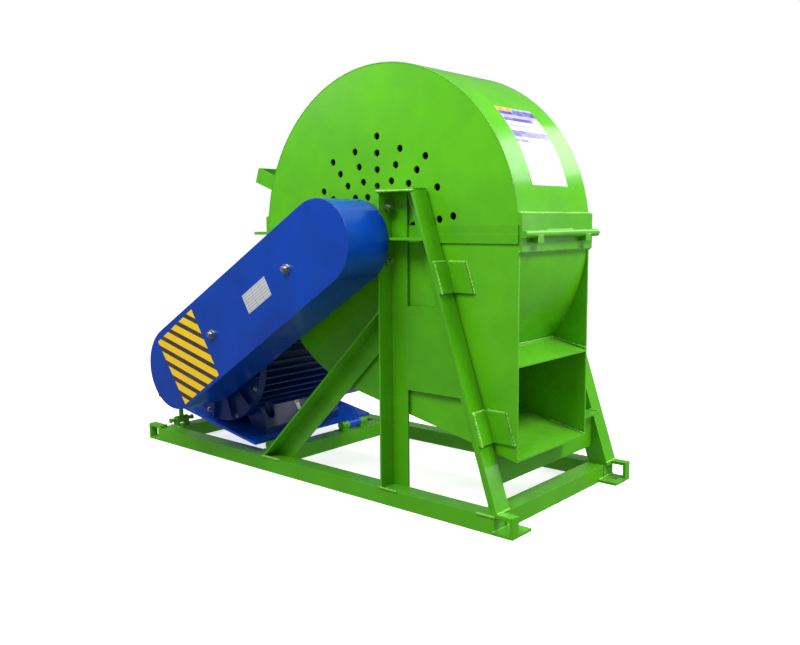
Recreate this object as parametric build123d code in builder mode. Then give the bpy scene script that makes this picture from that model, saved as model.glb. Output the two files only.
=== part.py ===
# Hammer mill: base frame, split casing with a hinged cover, hammer rotor, belt drive and a tilting motor.
# Frame: +X towards the outlet, +Y away from the belt drive, +Z up. Origin: centre of the four anchor
# holes, on the ground. Millimetres.
import os
from math import acos, atan2, cos, degrees, hypot, radians, sin, sqrt, tan

from build123d import *

os.makedirs("parts", exist_ok=True)

# ---------------------------------------------------------------- driving dimensions
# base frame
base_length = 1580.0
base_width = 696.0
rail_width = 60.0
rail_height = 50.0
rail_wall = 4.0
cross_rail_x = -194.0  # middle of the cross rail that carries the motor hinge
foot_reach = 60.0
foot_width = 95.0
foot_thick = 8.0
strap_width = 30.0
strap_thick = 10.0
strap_lap = 20.0  # onto the rails, at the motor end
anchor_hole_r = 9.0
anchor_hole_inset = 45.0  # from the outer side of the frame

# angle-section posts and braces
angle_leg = 63.0
angle_thick = 6.0
brace_thick = 8.0
post_gap = 8.0  # between a post and the casing wall
cap_z = 937.0
cap_thick = 8.0
cap_length = 132.0
rib_thick = 8.0
rib_drop = 9.0  # shaft centre down to the rib's top
brace_overhang = 12.0  # outlet braces past the end of the frame
motor_brace_foot = 480.0  # from the shaft to the brace's foot, along X
motor_brace_rise = 222.0  # shaft centre down to the brace's top end
gusset_top = 597.0
gusset_bottom = 347.0
gusset_thick = 6.0
tab_thick = 8.0
tab_reach = 60.0
tab_height = 85.0
tab_heights = (687.0, 280.0)  # middles of the two casing tabs on the drive-side brace
bar_height = 98.0
bar_width = 45.0
bar_thick = 6.0
far_tab_z = 219.0  # underside of the far side's level tab
far_tab_reach = 25.0  # past the brace's face
far_tab_lap = 45.0  # behind the brace's face

# casing
shaft_x = 316.0
shaft_z = 807.0
casing_radius = 500.0
casing_width = 382.0
sheet = 6.0
floor_slope = 12.0  # degrees down towards the outlet
divider_angle = 40.0  # where the divider leaves the chamber, below level
divider_drop = 351.0  # shaft centre down to the divider's outer edge
chamber_fit = 0.3  # between a cover part and a fixed part that it lies against
shaft_hole_gap = 8.0
strip_height = 50.0
strip_thick = 5.0
strip_shaft_gap = 60.0
band_thick = 10.0
band_above = 55.0
band_below = 46.0
flange_reach = 75.0
flange_thick = 5.0
clamp_bolt_r = 8.0
clamp_bolt_inset = 25.0
clamp_bolt_spread = 230.0
clamp_nut_size = 24.0
vent_r = 11.0
vent_first = 92.0
vent_step = 49.0
vent_half_step = 24.0
vent_rays = 5
vent_per_ray = 5
vent_ray_angle = 40.0
hinge_rod_r = 10.5
hinge_rod_overhang = 8.0
saddle_width = 30.0
saddle_inset = 45.0
running_gap = 0.08
handle_angle = 160.3  # round from the outlet side, degrees
handle_width = 50.0
handle_reach = 85.0
handle_thick = 5.0

# screen
screen_radius = 440.0
screen_thick = 4.0
screen_half_angle = 80.0
screen_slot_width = 14.0
screen_slot_length = 90.0
screen_slot_rows = 3
screen_slot_count = 26
screen_rail_width = 16.0
screen_rail_thick = 12.0

# feed chute on the far wall
chute_x = -240.0  # middle, from the shaft
chute_width = 200.0
chute_reach = 236.0
chute_sheet = 4.0
chute_mouth_z = 1000.0
chute_mouth_depth = 216.0
chute_low_z = 590.0
chute_flange = 22.0
chute_bolt_r = 4.0

# rotor
shaft_r = 35.0
journal_r = 27.5
rotor_disc_r = 255.0
rotor_disc_thick = 10.0
rotor_disc_count = 6
rotor_end_gap = 17.0  # casing wall to the first disc
hammer_pin_circle = 200.0
hammer_pin_r = 12.0
hammer_pin_head = 4.0
hammer_count = 4
hammer_thick = 12.0
hammer_width = 60.0
hammer_reach = 225.0
hub_r = 55.0
pin_fit = 0.25
hammer_fit = 0.1
hammer_side_gap = 1.5

# bearings
bearing_height = 63.5
bearing_bolt_spacing = 156.0
bearing_base_length = 206.0
bearing_base_width = 58.0
bearing_base_thick = 20.0
bearing_outer_r = 57.0
bearing_race_r = 45.0
inner_race_r = 36.0
inner_race_width = 52.0
bearing_bolt_r = 8.0

# belt drive
driven_pulley_r = 85.0
drive_pulley_r = 112.0
belt_count = 5
belt_pitch = 19.0
belt_top = 16.5
belt_height = 10.5
belt_angle = 19.0  # half of the groove angle
belt_side_gap = 0.3
pulley_edge = 12.5
pulley_groove = 14.0
pulley_bore_fit = 0.02
guard_depth = 166.0
guard_gap = 4.0  # between the guard's back edge and the post
guard_sheet = 3.0
guard_top_r = 125.0
guard_low_r = 142.0
guard_top_dx = -15.0
guard_top_dz = -22.0
guard_bolt_near = 148.0  # from the guard's upper centre, along its axis
guard_bolt_far = 576.0
guard_bolt_r = 8.0
guard_washer_r = 15.0
guard_washer_thick = 3.0
guard_arm_width = 50.0
guard_arm_drop = 80.0
guard_arm_thick = 8.0
guard_leg_r = 12.0
guard_legs = (130.0, 420.0)  # along the axis
sleeve_r = 12.0
nameplate_length = 125.0
nameplate_width = 63.0
nameplate_thick = 1.0
nameplate_along = 311.0
nameplate_rivet_r = 2.5

# motor and its tilting plate
plate_hinge_x = -194.0
plate_hinge_rise = 20.0  # hinge centre above the rails
plate_tilt = 9.6
plate_length = 605.0
plate_near_y = -340.0
plate_far_y = 243.0
plate_thick = 10.0
plate_rise = 15.0  # plate's top face above the hinge centre
hinge_pin_r = 9.0
hinge_pipe_r = 15.0
hinge_pipe_length = 60.0
hinge_base_pipe_length = 36.0
hinge_spread = 360.0
hinge_side_gap = 1.0
motor_foot_height = 225.0
motor_along = 264.0  # hinge centre to the motor's centre line, along the plate
motor_body_r = 186.0
motor_bore_r = 168.0
motor_fin_r = 218.0
motor_fin_thick = 5.0
motor_fin_count = 40
motor_front_y = -337.0
motor_frame_length = 430.0
motor_shield_length = 45.0
motor_cowl_length = 120.0
motor_cowl_sheet = 3.0
motor_shaft_r = 30.0
motor_shaft_reach = 140.0
motor_foot_spacing = 356.0
motor_foot_length = 286.0
motor_foot_width = 75.0
motor_foot_thick = 28.0
motor_first_foot = 110.0
motor_bolt_r = 8.0
motor_stator_length = 230.0
motor_core_r = 109.5
motor_air_gap = 0.5
motor_boss_r = 62.0
motor_rib_count = 12
motor_fan_width = 70.0
motor_fan_r = 195.0
motor_fan_hub_r = 50.0
motor_fan_blades = 9
fan_side_gap = 12.0
cowl_slot_rings = 4
cowl_first_slot = 75.0
cowl_slot_step = 34.0
cowl_slots = 16
cowl_slot_length = 26.0
cowl_slot_width = 8.0
terminal_box_angle = 90.0
terminal_box_inset = 150.0
terminal_box_width = 150.0
terminal_box_length = 180.0
terminal_box_height = 55.0
terminal_lid_thick = 10.0
tension_x = -762.0
tension_y = -258.0
tension_rise = 24.0  # tension bolt's pivot above the rails
tension_bolt_r = 9.0
tension_pin_r = 7.0
tension_pin_length = 92.0
tension_pin_head = 6.0
tension_bolt_length = 175.0
tension_lug_thick = 10.0
tension_lug_gap = 34.0
tension_nut_size = 27.0
tension_nut_gap = 0.7
slot_run = 16.0  # tension slot past the bolt, towards the motor

# ---------------------------------------------------------------- places that follow from them
rail_top = rail_height
base_end = base_length / 2
base_side = base_width / 2
casing_y = -base_side + angle_leg + post_gap  # outer face of the drive-side wall
casing_far_y = casing_y + casing_width
casing_mid_y = (casing_y + casing_far_y) / 2
inner_radius = casing_radius - sheet
post_x = shaft_x + bearing_height
post_inner_y = casing_y - post_gap
bearing_y = base_side - angle_leg / 2
outlet_x = shaft_x + casing_radius
cap_under = cap_z - cap_thick
brace_top_x = post_x + cap_length
brace_foot_x = base_end + brace_overhang
brace_lean = (brace_foot_x - brace_top_x) / (cap_under - rail_top)
guard_back_y = -base_side - guard_gap
guard_front_y = guard_back_y - guard_depth
guard_top_x = shaft_x + guard_top_dx
guard_top_z = shaft_z + guard_top_dz
hinge_z = rail_top + plate_hinge_rise
tilt = radians(plate_tilt)
pulley_width = (belt_count - 1) * belt_pitch + 2 * pulley_edge
pulley_mid_y = (guard_back_y + guard_front_y) / 2


def elevation(y, x=0.0, z=0.0):
    """Plane that faces the drive side at Y = y; a negative extrusion goes to +Y."""
    return Plane(origin=(x, y, z), x_dir=(1, 0, 0), z_dir=(0, -1, 0))


def around_shaft(y, turn=0.0):
    """The same plane on the shaft's axis, with its x axis turned up by turn degrees."""
    x_dir = (cos(radians(turn)), 0, sin(radians(turn)))
    return Plane(origin=(shaft_x, y, shaft_z), x_dir=x_dir, z_dir=(0, -1, 0))


def on_plate(y, along=0.0, rise=0.0):
    """Plane in the motor plate's own tilt: x back towards the hinge, y square to the plate."""
    x = plate_hinge_x - along * cos(tilt) + rise * sin(tilt)
    z = hinge_z + along * sin(tilt) + rise * cos(tilt)
    return Plane(origin=(x, y, z), x_dir=(cos(tilt), 0, -sin(tilt)), z_dir=(0, -1, 0))


motor_plane = on_plate(motor_front_y, motor_along, plate_rise + motor_foot_height)
motor_x = motor_plane.origin.X
motor_z = motor_plane.origin.Z
guard_run = hypot(guard_top_x - motor_x, guard_top_z - motor_z)
guard_slope = degrees(atan2(guard_top_z - motor_z, guard_top_x - motor_x))


def along_guard(y, along=0.0):
    """Plane at a distance down the guard's axis: x points back up the axis, y square to it."""
    s = radians(guard_slope)
    x = guard_top_x - along * cos(s)
    z = guard_top_z - along * sin(s)
    return Plane(origin=(x, y, z), x_dir=(cos(s), 0, sin(s)), z_dir=(0, -1, 0))


def strut(top, foot, depth):
    """Outline of a leaning bar, cut level at both ends, with its depth towards -X."""
    run = foot[0] - top[0]
    rise = top[1] - foot[1]
    level = depth * hypot(run, rise) / rise
    Polygon(top, foot, (foot[0] - level, foot[1]), (top[0] - level, top[1]), align=None)


def brace_face_x(z):
    """Outer face of an outlet brace at height z."""
    return brace_top_x + (cap_under - z) * brace_lean


def floor_z(x, inset=0.0):
    """Casing floor's outer face at x, or a plane inset above it."""
    slope = radians(floor_slope)
    return shaft_z - (casing_radius - inset) / cos(slope) - (x - shaft_x) * tan(slope)


# ---------------------------------------------------------------- base frame
with BuildPart() as side_rails:
    with BuildSketch(Plane.YZ.offset(-base_end)):
        with GridLocations(base_width - rail_width, 0, 2, 1):
            with Locations((0, rail_height / 2)):
                Rectangle(rail_width, rail_height)
                Rectangle(rail_width - 2 * rail_wall, rail_height - 2 * rail_wall, mode=Mode.SUBTRACT)
    extrude(amount=base_length)
    with BuildSketch(Plane.YZ.offset(-base_end)):
        with GridLocations(base_width - rail_width, 0, 2, 1):
            with Locations((0, rail_height / 2)):
                Rectangle(rail_width, rail_height)
    extrude(amount=rail_wall)
    with BuildSketch(Plane.YZ.offset(base_end)):
        with GridLocations(base_width - rail_width, 0, 2, 1):
            with Locations((0, rail_height / 2)):
                Rectangle(rail_width, rail_height)
    extrude(amount=-rail_wall)
side_rails.part.label = "side_rails"
export_step(side_rails.part, "parts/side_rails.step")

cross_rail_span = base_width - 2 * rail_width
with BuildPart() as cross_rails:
    for middle in (-base_end + rail_width / 2, cross_rail_x, base_end - rail_width / 2):
        with BuildSketch(elevation(-cross_rail_span / 2, middle, rail_height / 2)):
            Rectangle(rail_width, rail_height)
            Rectangle(rail_width - 2 * rail_wall, rail_height - 2 * rail_wall, mode=Mode.SUBTRACT)
        extrude(amount=-cross_rail_span)
cross_rails.part.label = "cross_rails"
export_step(cross_rails.part, "parts/cross_rails.step")

# foot plate with an anchor hole, and a flat strap bent down to it from the rail's top
with BuildPart() as anchor_brackets:
    for end, strap_start in ((1, brace_foot_x), (-1, base_end - strap_lap)):
        with BuildSketch(Plane.XY):
            with Locations((end * (base_end + foot_reach / 2), -base_side)):
                Rectangle(foot_reach, foot_width, align=(Align.CENTER, Align.MIN))
            with Locations((end * (base_end + foot_reach / 2), -base_side + anchor_hole_inset)):
                Circle(anchor_hole_r, mode=Mode.SUBTRACT)
        extrude(amount=foot_thick)
        with BuildSketch(elevation(-base_side)):
            Polygon(
                (end * (base_end + foot_reach), foot_thick),
                (end * (base_end + foot_reach), rail_top + strap_thick),
                (end * strap_start, rail_top + strap_thick),
                (end * strap_start, rail_top),
                (end * (base_end + foot_reach - strap_thick), rail_top),
                (end * (base_end + foot_reach - strap_thick), foot_thick),
                align=None,
            )
        extrude(amount=-strap_width)
    mirror(about=Plane.XZ)
anchor_brackets.part.label = "anchor_brackets"
export_step(anchor_brackets.part, "parts/anchor_brackets.step")

# ---------------------------------------------------------------- posts and braces
with BuildPart() as near_upright:
    with BuildSketch(Plane.XY.offset(rail_top)):
        with Locations((post_x, -base_side)):
            Rectangle(angle_thick, angle_leg, align=(Align.MIN, Align.MIN))
        with Locations((post_x, post_inner_y)):
            Rectangle(angle_leg, angle_thick, align=(Align.MIN, Align.MAX))
    extrude(amount=cap_under - rail_top)
    with Locations(Plane((post_x, -bearing_y, shaft_z), z_dir=(1, 0, 0))):
        with GridLocations(bearing_bolt_spacing, 0, 2, 1):
            Hole(bearing_bolt_r + pin_fit, depth=2 * angle_thick)
near_upright.part.label = "near_upright"
export_step(near_upright.part, "parts/near_upright.step")

with BuildPart() as far_upright:
    mirror(near_upright.part, about=Plane.XZ)
far_upright.part.label = "far_upright"
export_step(far_upright.part, "parts/far_upright.step")

with BuildPart() as near_outlet_brace:
    with BuildSketch(elevation(-base_side)):
        strut((brace_top_x, cap_under), (brace_foot_x, rail_top), brace_thick)
    extrude(amount=-angle_leg)
    with BuildSketch(elevation(post_inner_y - brace_thick)):
        strut((brace_top_x, cap_under), (brace_foot_x, rail_top), angle_leg)
    extrude(amount=-brace_thick)
near_outlet_brace.part.label = "near_outlet_brace"
export_step(near_outlet_brace.part, "parts/near_outlet_brace.step")

with BuildPart() as far_outlet_brace:
    mirror(near_outlet_brace.part, about=Plane.XZ)
far_outlet_brace.part.label = "far_outlet_brace"
export_step(far_outlet_brace.part, "parts/far_outlet_brace.step")

# leans from the near rail up to the drive-side post: flange on its upper edge, web beside the casing
motor_brace_dx = post_x - (shaft_x - motor_brace_foot)
motor_brace_top = shaft_z - motor_brace_rise
motor_brace_dz = motor_brace_top - rail_top
motor_brace_length = hypot(motor_brace_dx, motor_brace_dz)


def motor_brace_outline(depth):
    foot_x = shaft_x - motor_brace_foot
    Polygon(
        (foot_x, rail_top),
        (post_x, motor_brace_top),
        (post_x, motor_brace_top - depth * motor_brace_length / motor_brace_dx),
        (foot_x + depth * motor_brace_length / motor_brace_dz, rail_top),
        align=None,
    )


with BuildPart() as near_motor_brace:
    with BuildSketch(elevation(-base_side)):
        motor_brace_outline(angle_thick)
    extrude(amount=-angle_leg)
    with BuildSketch(elevation(post_inner_y - angle_thick)):
        motor_brace_outline(angle_leg)
    extrude(amount=-angle_thick)
near_motor_brace.part.label = "near_motor_brace"
export_step(near_motor_brace.part, "parts/near_motor_brace.step")

# caps on the posts, ribs beside the bearings, and gussets between each post and its outlet brace
brace_web_width = angle_leg * hypot(1, brace_lean)
brace_skin_width = brace_thick * hypot(1, brace_lean)
with BuildPart() as frame_plates:
    with BuildSketch(Plane.XY.offset(cap_under)):
        with Locations((post_x, -base_side)):
            Rectangle(cap_length, angle_leg, align=(Align.MIN, Align.MIN))
    extrude(amount=cap_thick)
    rib_top = shaft_z - rib_drop
    with BuildSketch(Plane.XY.offset(rib_top - rib_thick)):
        with Locations((post_x + angle_thick, -base_side)):
            rib_length = brace_face_x(rib_top) - brace_skin_width - post_x - angle_thick
            Rectangle(rib_length, angle_leg - brace_thick, align=(Align.MIN, Align.MIN))
    extrude(amount=rib_thick)
    with BuildSketch(elevation(post_inner_y - gusset_thick)):
        Polygon(
            (post_x + angle_leg, gusset_top),
            (brace_face_x(gusset_top) - brace_web_width, gusset_top),
            (brace_face_x(gusset_bottom) - brace_web_width, gusset_bottom),
            (post_x + angle_leg, gusset_bottom),
            align=None,
        )
    extrude(amount=-gusset_thick)
    mirror(about=Plane.XZ)
frame_plates.part.label = "frame_plates"
export_step(frame_plates.part, "parts/frame_plates.step")

# bent tabs from the braces to the casing walls: two on the drive side, a long one on the far side
with BuildPart() as casing_tabs:
    for middle in tab_heights:
        top = middle + tab_height / 2
        foot = middle - tab_height / 2
        skin = tab_thick * hypot(1, brace_lean)
        with BuildSketch(elevation(-base_side)):
            strut((brace_face_x(top) + skin, top), (brace_face_x(foot) + skin, foot), tab_thick)
        extrude(amount=-angle_leg - post_gap)
        with BuildSketch(elevation(casing_y - tab_thick)):
            reach = skin + tab_reach
            strut((brace_face_x(top) + reach, top), (brace_face_x(foot) + reach, foot), tab_reach)
        extrude(amount=-tab_thick)
    with BuildSketch(elevation(casing_far_y)):
        x = brace_face_x(far_tab_z)
        Polygon(
            (x - far_tab_lap, far_tab_z),
            (x + far_tab_reach, far_tab_z),
            (x + far_tab_reach, far_tab_z + tab_thick),
            (x - far_tab_lap, far_tab_z + tab_thick),
            align=None,
        )
    extrude(amount=-(base_side - angle_leg - casing_far_y))
casing_tabs.part.label = "casing_tabs"
export_step(casing_tabs.part, "parts/casing_tabs.step")

# angle bar under the casing's floor, from brace to brace; its top corner touches the floor
with BuildPart() as outlet_cross_bar:
    floor_fall = tan(radians(floor_slope))
    level_face_x = brace_face_x(0) - brace_skin_width - shaft_x
    bar_top = (floor_z(shaft_x) - floor_fall * level_face_x) / (1 - floor_fall * brace_lean)
    with BuildSketch(elevation(post_inner_y)):
        with Locations((brace_face_x(bar_top) - brace_skin_width, bar_top)):
            Rectangle(bar_width, bar_thick, align=(Align.MAX, Align.MAX))
            Rectangle(bar_thick, bar_height, align=(Align.MAX, Align.MAX))
    extrude(amount=-(base_width - 2 * angle_leg))
outlet_cross_bar.part.label = "outlet_cross_bar"
export_step(outlet_cross_bar.part, "parts/outlet_cross_bar.step")

# ---------------------------------------------------------------- lower casing
slope = radians(floor_slope)


def casing_outline(radius):
    """Lower half: half circle on the motor side, then a straight floor down to the outlet."""
    touch = (-radius * sin(slope), -radius * cos(slope))
    outlet_low = floor_z(outlet_x, casing_radius - radius) - shaft_z
    with BuildSketch() as outline:
        with BuildLine():
            CenterArc((0, 0), radius, 180, 90 - floor_slope)
            Polyline(touch, (casing_radius, outlet_low), (casing_radius, 0), (-radius, 0))
        make_face()
    return outline.sketch


def arc_band(outer, inner, start, sweep):
    """Part of a ring round the shaft, from start degrees through sweep degrees."""
    first = radians(start)
    last = radians(start + sweep)
    with BuildSketch() as band:
        with BuildLine():
            CenterArc((0, 0), outer, start, sweep)
            Line((outer * cos(last), outer * sin(last)), (inner * cos(last), inner * sin(last)))
            CenterArc((0, 0), inner, start, sweep)
            Line((inner * cos(first), inner * sin(first)), (outer * cos(first), outer * sin(first)))
        make_face()
    return band.sketch


inside_y = casing_y + sheet
inside_width = casing_width - 2 * sheet
shaft_hole_r = shaft_r + shaft_hole_gap
chute_wall_z = shaft_z - strip_height / 2 - chute_flange - 2
chute_gap_low = chute_low_z + chute_sheet - shaft_z
chute_gap = chute_wall_z - chute_low_z - 2 * chute_sheet

with BuildPart() as drive_side_wall:
    with BuildSketch(around_shaft(casing_y)):
        add(casing_outline(casing_radius))
        Circle(shaft_hole_r, mode=Mode.SUBTRACT)
    extrude(amount=-sheet)
drive_side_wall.part.label = "drive_side_wall"
export_step(drive_side_wall.part, "parts/drive_side_wall.step")

with BuildPart() as far_side_wall:
    with BuildSketch(around_shaft(casing_far_y - sheet)):
        add(casing_outline(casing_radius))
        Circle(shaft_hole_r, mode=Mode.SUBTRACT)
        with Locations((chute_x, chute_gap_low)):
            Rectangle(chute_width - 2 * chute_sheet, chute_gap, align=(Align.CENTER, Align.MIN), mode=Mode.SUBTRACT)
    extrude(amount=-sheet)
far_side_wall.part.label = "far_side_wall"
export_step(far_side_wall.part, "parts/far_side_wall.step")

with BuildPart() as casing_floor_sheet:
    with BuildSketch(around_shaft(inside_y)):
        add(casing_outline(casing_radius))
        add(casing_outline(inner_radius), mode=Mode.SUBTRACT)
    extrude(amount=-inside_width)
casing_floor_sheet.part.label = "casing_floor_sheet"
export_step(casing_floor_sheet.part, "parts/casing_floor_sheet.step")

# round wall on the outlet side, from the split down to the divider
with BuildPart() as chamber_arc_plate:
    with BuildSketch(around_shaft(inside_y)):
        add(arc_band(casing_radius, inner_radius, -divider_angle, divider_angle))
    extrude(amount=-inside_width)
chamber_arc_plate.part.label = "chamber_arc_plate"
export_step(chamber_arc_plate.part, "parts/chamber_arc_plate.step")

# shelf between the chamber's round wall and the outlet's upper edge
with BuildPart() as outlet_divider:
    root_x = casing_radius * cos(radians(divider_angle))
    root_z = -casing_radius * sin(radians(divider_angle))
    shelf_slope = (root_z + divider_drop) / (casing_radius - root_x)
    with BuildSketch(around_shaft(inside_y)):
        Polygon(
            (root_x, root_z),
            (casing_radius, -divider_drop),
            (casing_radius, -divider_drop - sheet * hypot(1, shelf_slope)),
            (root_x - sheet * shelf_slope, root_z - sheet),
            align=None,
        )
        Circle(casing_radius, mode=Mode.SUBTRACT)
    extrude(amount=-inside_width)
outlet_divider.part.label = "outlet_divider"
export_step(outlet_divider.part, "parts/outlet_divider.step")

# bands across both ends just below the split, and the closing flange with its welded nuts
clamp_x = -casing_radius - flange_reach + clamp_bolt_inset
with BuildPart() as lower_end_bands:
    with BuildSketch(around_shaft(casing_y)):
        Polygon(
            (casing_radius, 0),
            (casing_radius + band_thick, 0),
            (casing_radius + band_thick, -band_below),
            (casing_radius, -band_below),
            align=None,
        )
        Polygon(
            (-casing_radius, 0),
            (-casing_radius - flange_reach, 0),
            (-casing_radius - flange_reach, -flange_thick),
            (-casing_radius - band_thick, -flange_thick),
            (-casing_radius - band_thick, -band_below),
            (-casing_radius, -band_below),
            align=None,
        )
    extrude(amount=-casing_width)
    with Locations(Plane((shaft_x + clamp_x, casing_mid_y, shaft_z))):
        with GridLocations(0, clamp_bolt_spread, 1, 2):
            Hole(clamp_bolt_r + 1, depth=2 * flange_thick)
    with BuildSketch(Plane((shaft_x + clamp_x, casing_mid_y, shaft_z - flange_thick))):
        with GridLocations(0, clamp_bolt_spread, 1, 2):
            RegularPolygon(clamp_nut_size / 2, 6, major_radius=False)
            Circle(clamp_bolt_r + 1, mode=Mode.SUBTRACT)
    extrude(amount=-2 * clamp_bolt_r)
lower_end_bands.part.label = "lower_end_bands"
export_step(lower_end_bands.part, "parts/lower_end_bands.step")

# two cradles under the cover's hinge rod, on the outlet end band
hinge_x = outlet_x + band_thick + hinge_rod_r
saddle_r = hinge_rod_r + running_gap
with BuildPart() as hinge_saddles:
    for y in (casing_y + saddle_inset, casing_far_y - saddle_inset - saddle_width):
        with BuildSketch(elevation(y, hinge_x, shaft_z)):
            with Locations((-hinge_rod_r, 0)):
                Rectangle(2 * hinge_rod_r, 2.2 * hinge_rod_r, align=(Align.MIN, Align.MAX))
            Circle(saddle_r, mode=Mode.SUBTRACT)
        extrude(amount=-saddle_width)
hinge_saddles.part.label = "hinge_saddles"
export_step(hinge_saddles.part, "parts/hinge_saddles.step")

# ---------------------------------------------------------------- screen
screen_outer = screen_radius + screen_thick
slot_step = 2 * screen_half_angle / (screen_slot_count + 1)
row_step = inside_width / screen_slot_rows
with BuildPart() as screen:
    with BuildSketch(around_shaft(inside_y + 1)):
        add(arc_band(screen_outer, screen_radius, -90 - screen_half_angle, 2 * screen_half_angle))
    extrude(amount=-(inside_width - 2))
    for slot in range(screen_slot_count):
        turn = 180 - screen_half_angle + slot_step * (slot + 1)
        with Locations(Plane((shaft_x, casing_mid_y, shaft_z)) * Rot(0, turn, 0) * Pos(0, 0, screen_radius)):
            with GridLocations(0, row_step, 1, screen_slot_rows):
                Box(screen_slot_width, screen_slot_length, 4 * screen_thick, mode=Mode.SUBTRACT)
screen.part.label = "screen"
export_step(screen.part, "parts/screen.step")

# curved rails on both walls that the screen lies on
rail_outer = screen_outer + screen_rail_thick
with BuildPart() as screen_rails:
    for y in (inside_y, casing_far_y - sheet - screen_rail_width):
        with BuildSketch(around_shaft(y)):
            add(arc_band(rail_outer, screen_outer, -90 - screen_half_angle, 2 * screen_half_angle))
        extrude(amount=-screen_rail_width)
screen_rails.part.label = "screen_rails"
export_step(screen_rails.part, "parts/screen_rails.step")

# ---------------------------------------------------------------- feed chute
chute_back_y = casing_far_y + chute_reach
chute_clear_y = casing_far_y + strip_thick + post_gap
with BuildPart() as feed_chute:
    with BuildSketch(Plane.YZ.offset(shaft_x + chute_x - chute_width / 2)):
        Polygon(
            (casing_far_y, chute_low_z),
            (casing_far_y, chute_wall_z),
            (chute_clear_y, chute_wall_z),
            (chute_clear_y, chute_mouth_z),
            (chute_back_y, chute_mouth_z),
            (chute_back_y, chute_mouth_z - chute_mouth_depth / 2),
            align=None,
        )
    extrude(amount=chute_width)
    openings = [
        feed_chute.faces().sort_by(Axis.Z)[-1],
        feed_chute.faces().filter_by(Axis.Y).sort_by(Axis.Y)[0],
    ]
    offset(amount=-chute_sheet, openings=openings)
    with BuildSketch(around_shaft(casing_far_y)):
        with Locations((chute_x, (chute_low_z + chute_wall_z) / 2 - shaft_z)):
            tall = chute_wall_z - chute_low_z
            Rectangle(chute_width + 2 * chute_flange, tall + 2 * chute_flange)
            Rectangle(chute_width - 2 * chute_sheet, tall - 2 * chute_sheet, mode=Mode.SUBTRACT)
    extrude(amount=-chute_sheet)
feed_chute.part.label = "feed_chute"
export_step(feed_chute.part, "parts/feed_chute.step")

# ---------------------------------------------------------------- cover
# Half-round side walls; the drive-side one has rays of vent holes above the bearing.
with BuildPart() as cover_drive_wall:
    with BuildSketch(around_shaft(casing_y)):
        add(arc_band(casing_radius, shaft_hole_r, 0, 180))
        for ray in range(vent_rays):
            with PolarLocations(vent_first, 1, start_angle=90 + (ray - vent_rays // 2) * vent_ray_angle):
                for step in range(vent_per_ray):
                    with Locations((vent_step * step, 0)):
                        Circle(vent_r, mode=Mode.SUBTRACT)
        for ray in range(vent_rays - 1):
            middle = 90 + (ray - vent_rays / 2 + 1) * vent_ray_angle
            with PolarLocations(vent_first + vent_half_step, 1, start_angle=middle):
                for step in range(vent_per_ray - 1):
                    with Locations((vent_step * step, 0)):
                        Circle(vent_r, mode=Mode.SUBTRACT)
    extrude(amount=-sheet)
cover_drive_wall.part.label = "cover_drive_wall"
export_step(cover_drive_wall.part, "parts/cover_drive_wall.step")

with BuildPart() as cover_far_wall:
    with BuildSketch(around_shaft(casing_far_y - sheet)):
        add(arc_band(casing_radius, shaft_hole_r, 0, 180))
    extrude(amount=-sheet)
cover_far_wall.part.label = "cover_far_wall"
export_step(cover_far_wall.part, "parts/cover_far_wall.step")

with BuildPart() as cover_wrapper:
    with BuildSketch(around_shaft(inside_y)):
        add(arc_band(casing_radius, inner_radius, 0, 180))
    extrude(amount=-inside_width)
cover_wrapper.part.label = "cover_wrapper"
export_step(cover_wrapper.part, "parts/cover_wrapper.step")

# strips on both faces that lap over the split, left open round the shaft
with BuildPart() as cover_strips:
    for y in (casing_y - strip_thick, casing_far_y):
        lap = chamber_fit if y < casing_mid_y else -chamber_fit
        with BuildSketch(around_shaft(y)):
            for side in (-1, 1):
                with Locations((side * (casing_radius + strip_shaft_gap) / 2, strip_height / 4)):
                    Rectangle(casing_radius - strip_shaft_gap, strip_height / 2)
        extrude(amount=-strip_thick)
        with BuildSketch(around_shaft(y - lap)):
            for side in (-1, 1):
                with Locations((side * (casing_radius + strip_shaft_gap) / 2, -strip_height / 4)):
                    Rectangle(casing_radius - strip_shaft_gap, strip_height / 2)
        extrude(amount=-strip_thick)
cover_strips.part.label = "cover_strips"
export_step(cover_strips.part, "parts/cover_strips.step")

with BuildPart() as cover_end_bands:
    with BuildSketch(around_shaft(casing_y)):
        Polygon(
            (casing_radius, 0),
            (casing_radius + band_thick, 0),
            (casing_radius + band_thick, band_above),
            (casing_radius - band_thick, band_above),
            align=None,
        )
        Polygon(
            (-casing_radius, 0),
            (-casing_radius - flange_reach, 0),
            (-casing_radius - flange_reach, flange_thick),
            (-casing_radius - band_thick, flange_thick),
            (-casing_radius - band_thick, band_above),
            (-casing_radius + band_thick, band_above),
            align=None,
        )
        Circle(casing_radius, mode=Mode.SUBTRACT)
    extrude(amount=-casing_width)
    with Locations(Plane((shaft_x + clamp_x, casing_mid_y, shaft_z + flange_thick))):
        with GridLocations(0, clamp_bolt_spread, 1, 2):
            Hole(clamp_bolt_r + pin_fit, depth=2 * flange_thick)
cover_end_bands.part.label = "cover_end_bands"
export_step(cover_end_bands.part, "parts/cover_end_bands.step")

with BuildPart() as cover_bolts:
    with BuildSketch(Plane((shaft_x + clamp_x, casing_mid_y, shaft_z + flange_thick))):
        with GridLocations(0, clamp_bolt_spread, 1, 2):
            RegularPolygon(clamp_nut_size / 2, 6, major_radius=False)
    extrude(amount=1.3 * clamp_bolt_r)
    with BuildSketch(Plane((shaft_x + clamp_x, casing_mid_y, shaft_z + flange_thick))):
        with GridLocations(0, clamp_bolt_spread, 1, 2):
            Circle(clamp_bolt_r)
    extrude(amount=-2 * flange_thick - 2.5 * clamp_bolt_r)
cover_bolts.part.label = "cover_bolts"
export_step(cover_bolts.part, "parts/cover_bolts.step")

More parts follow.
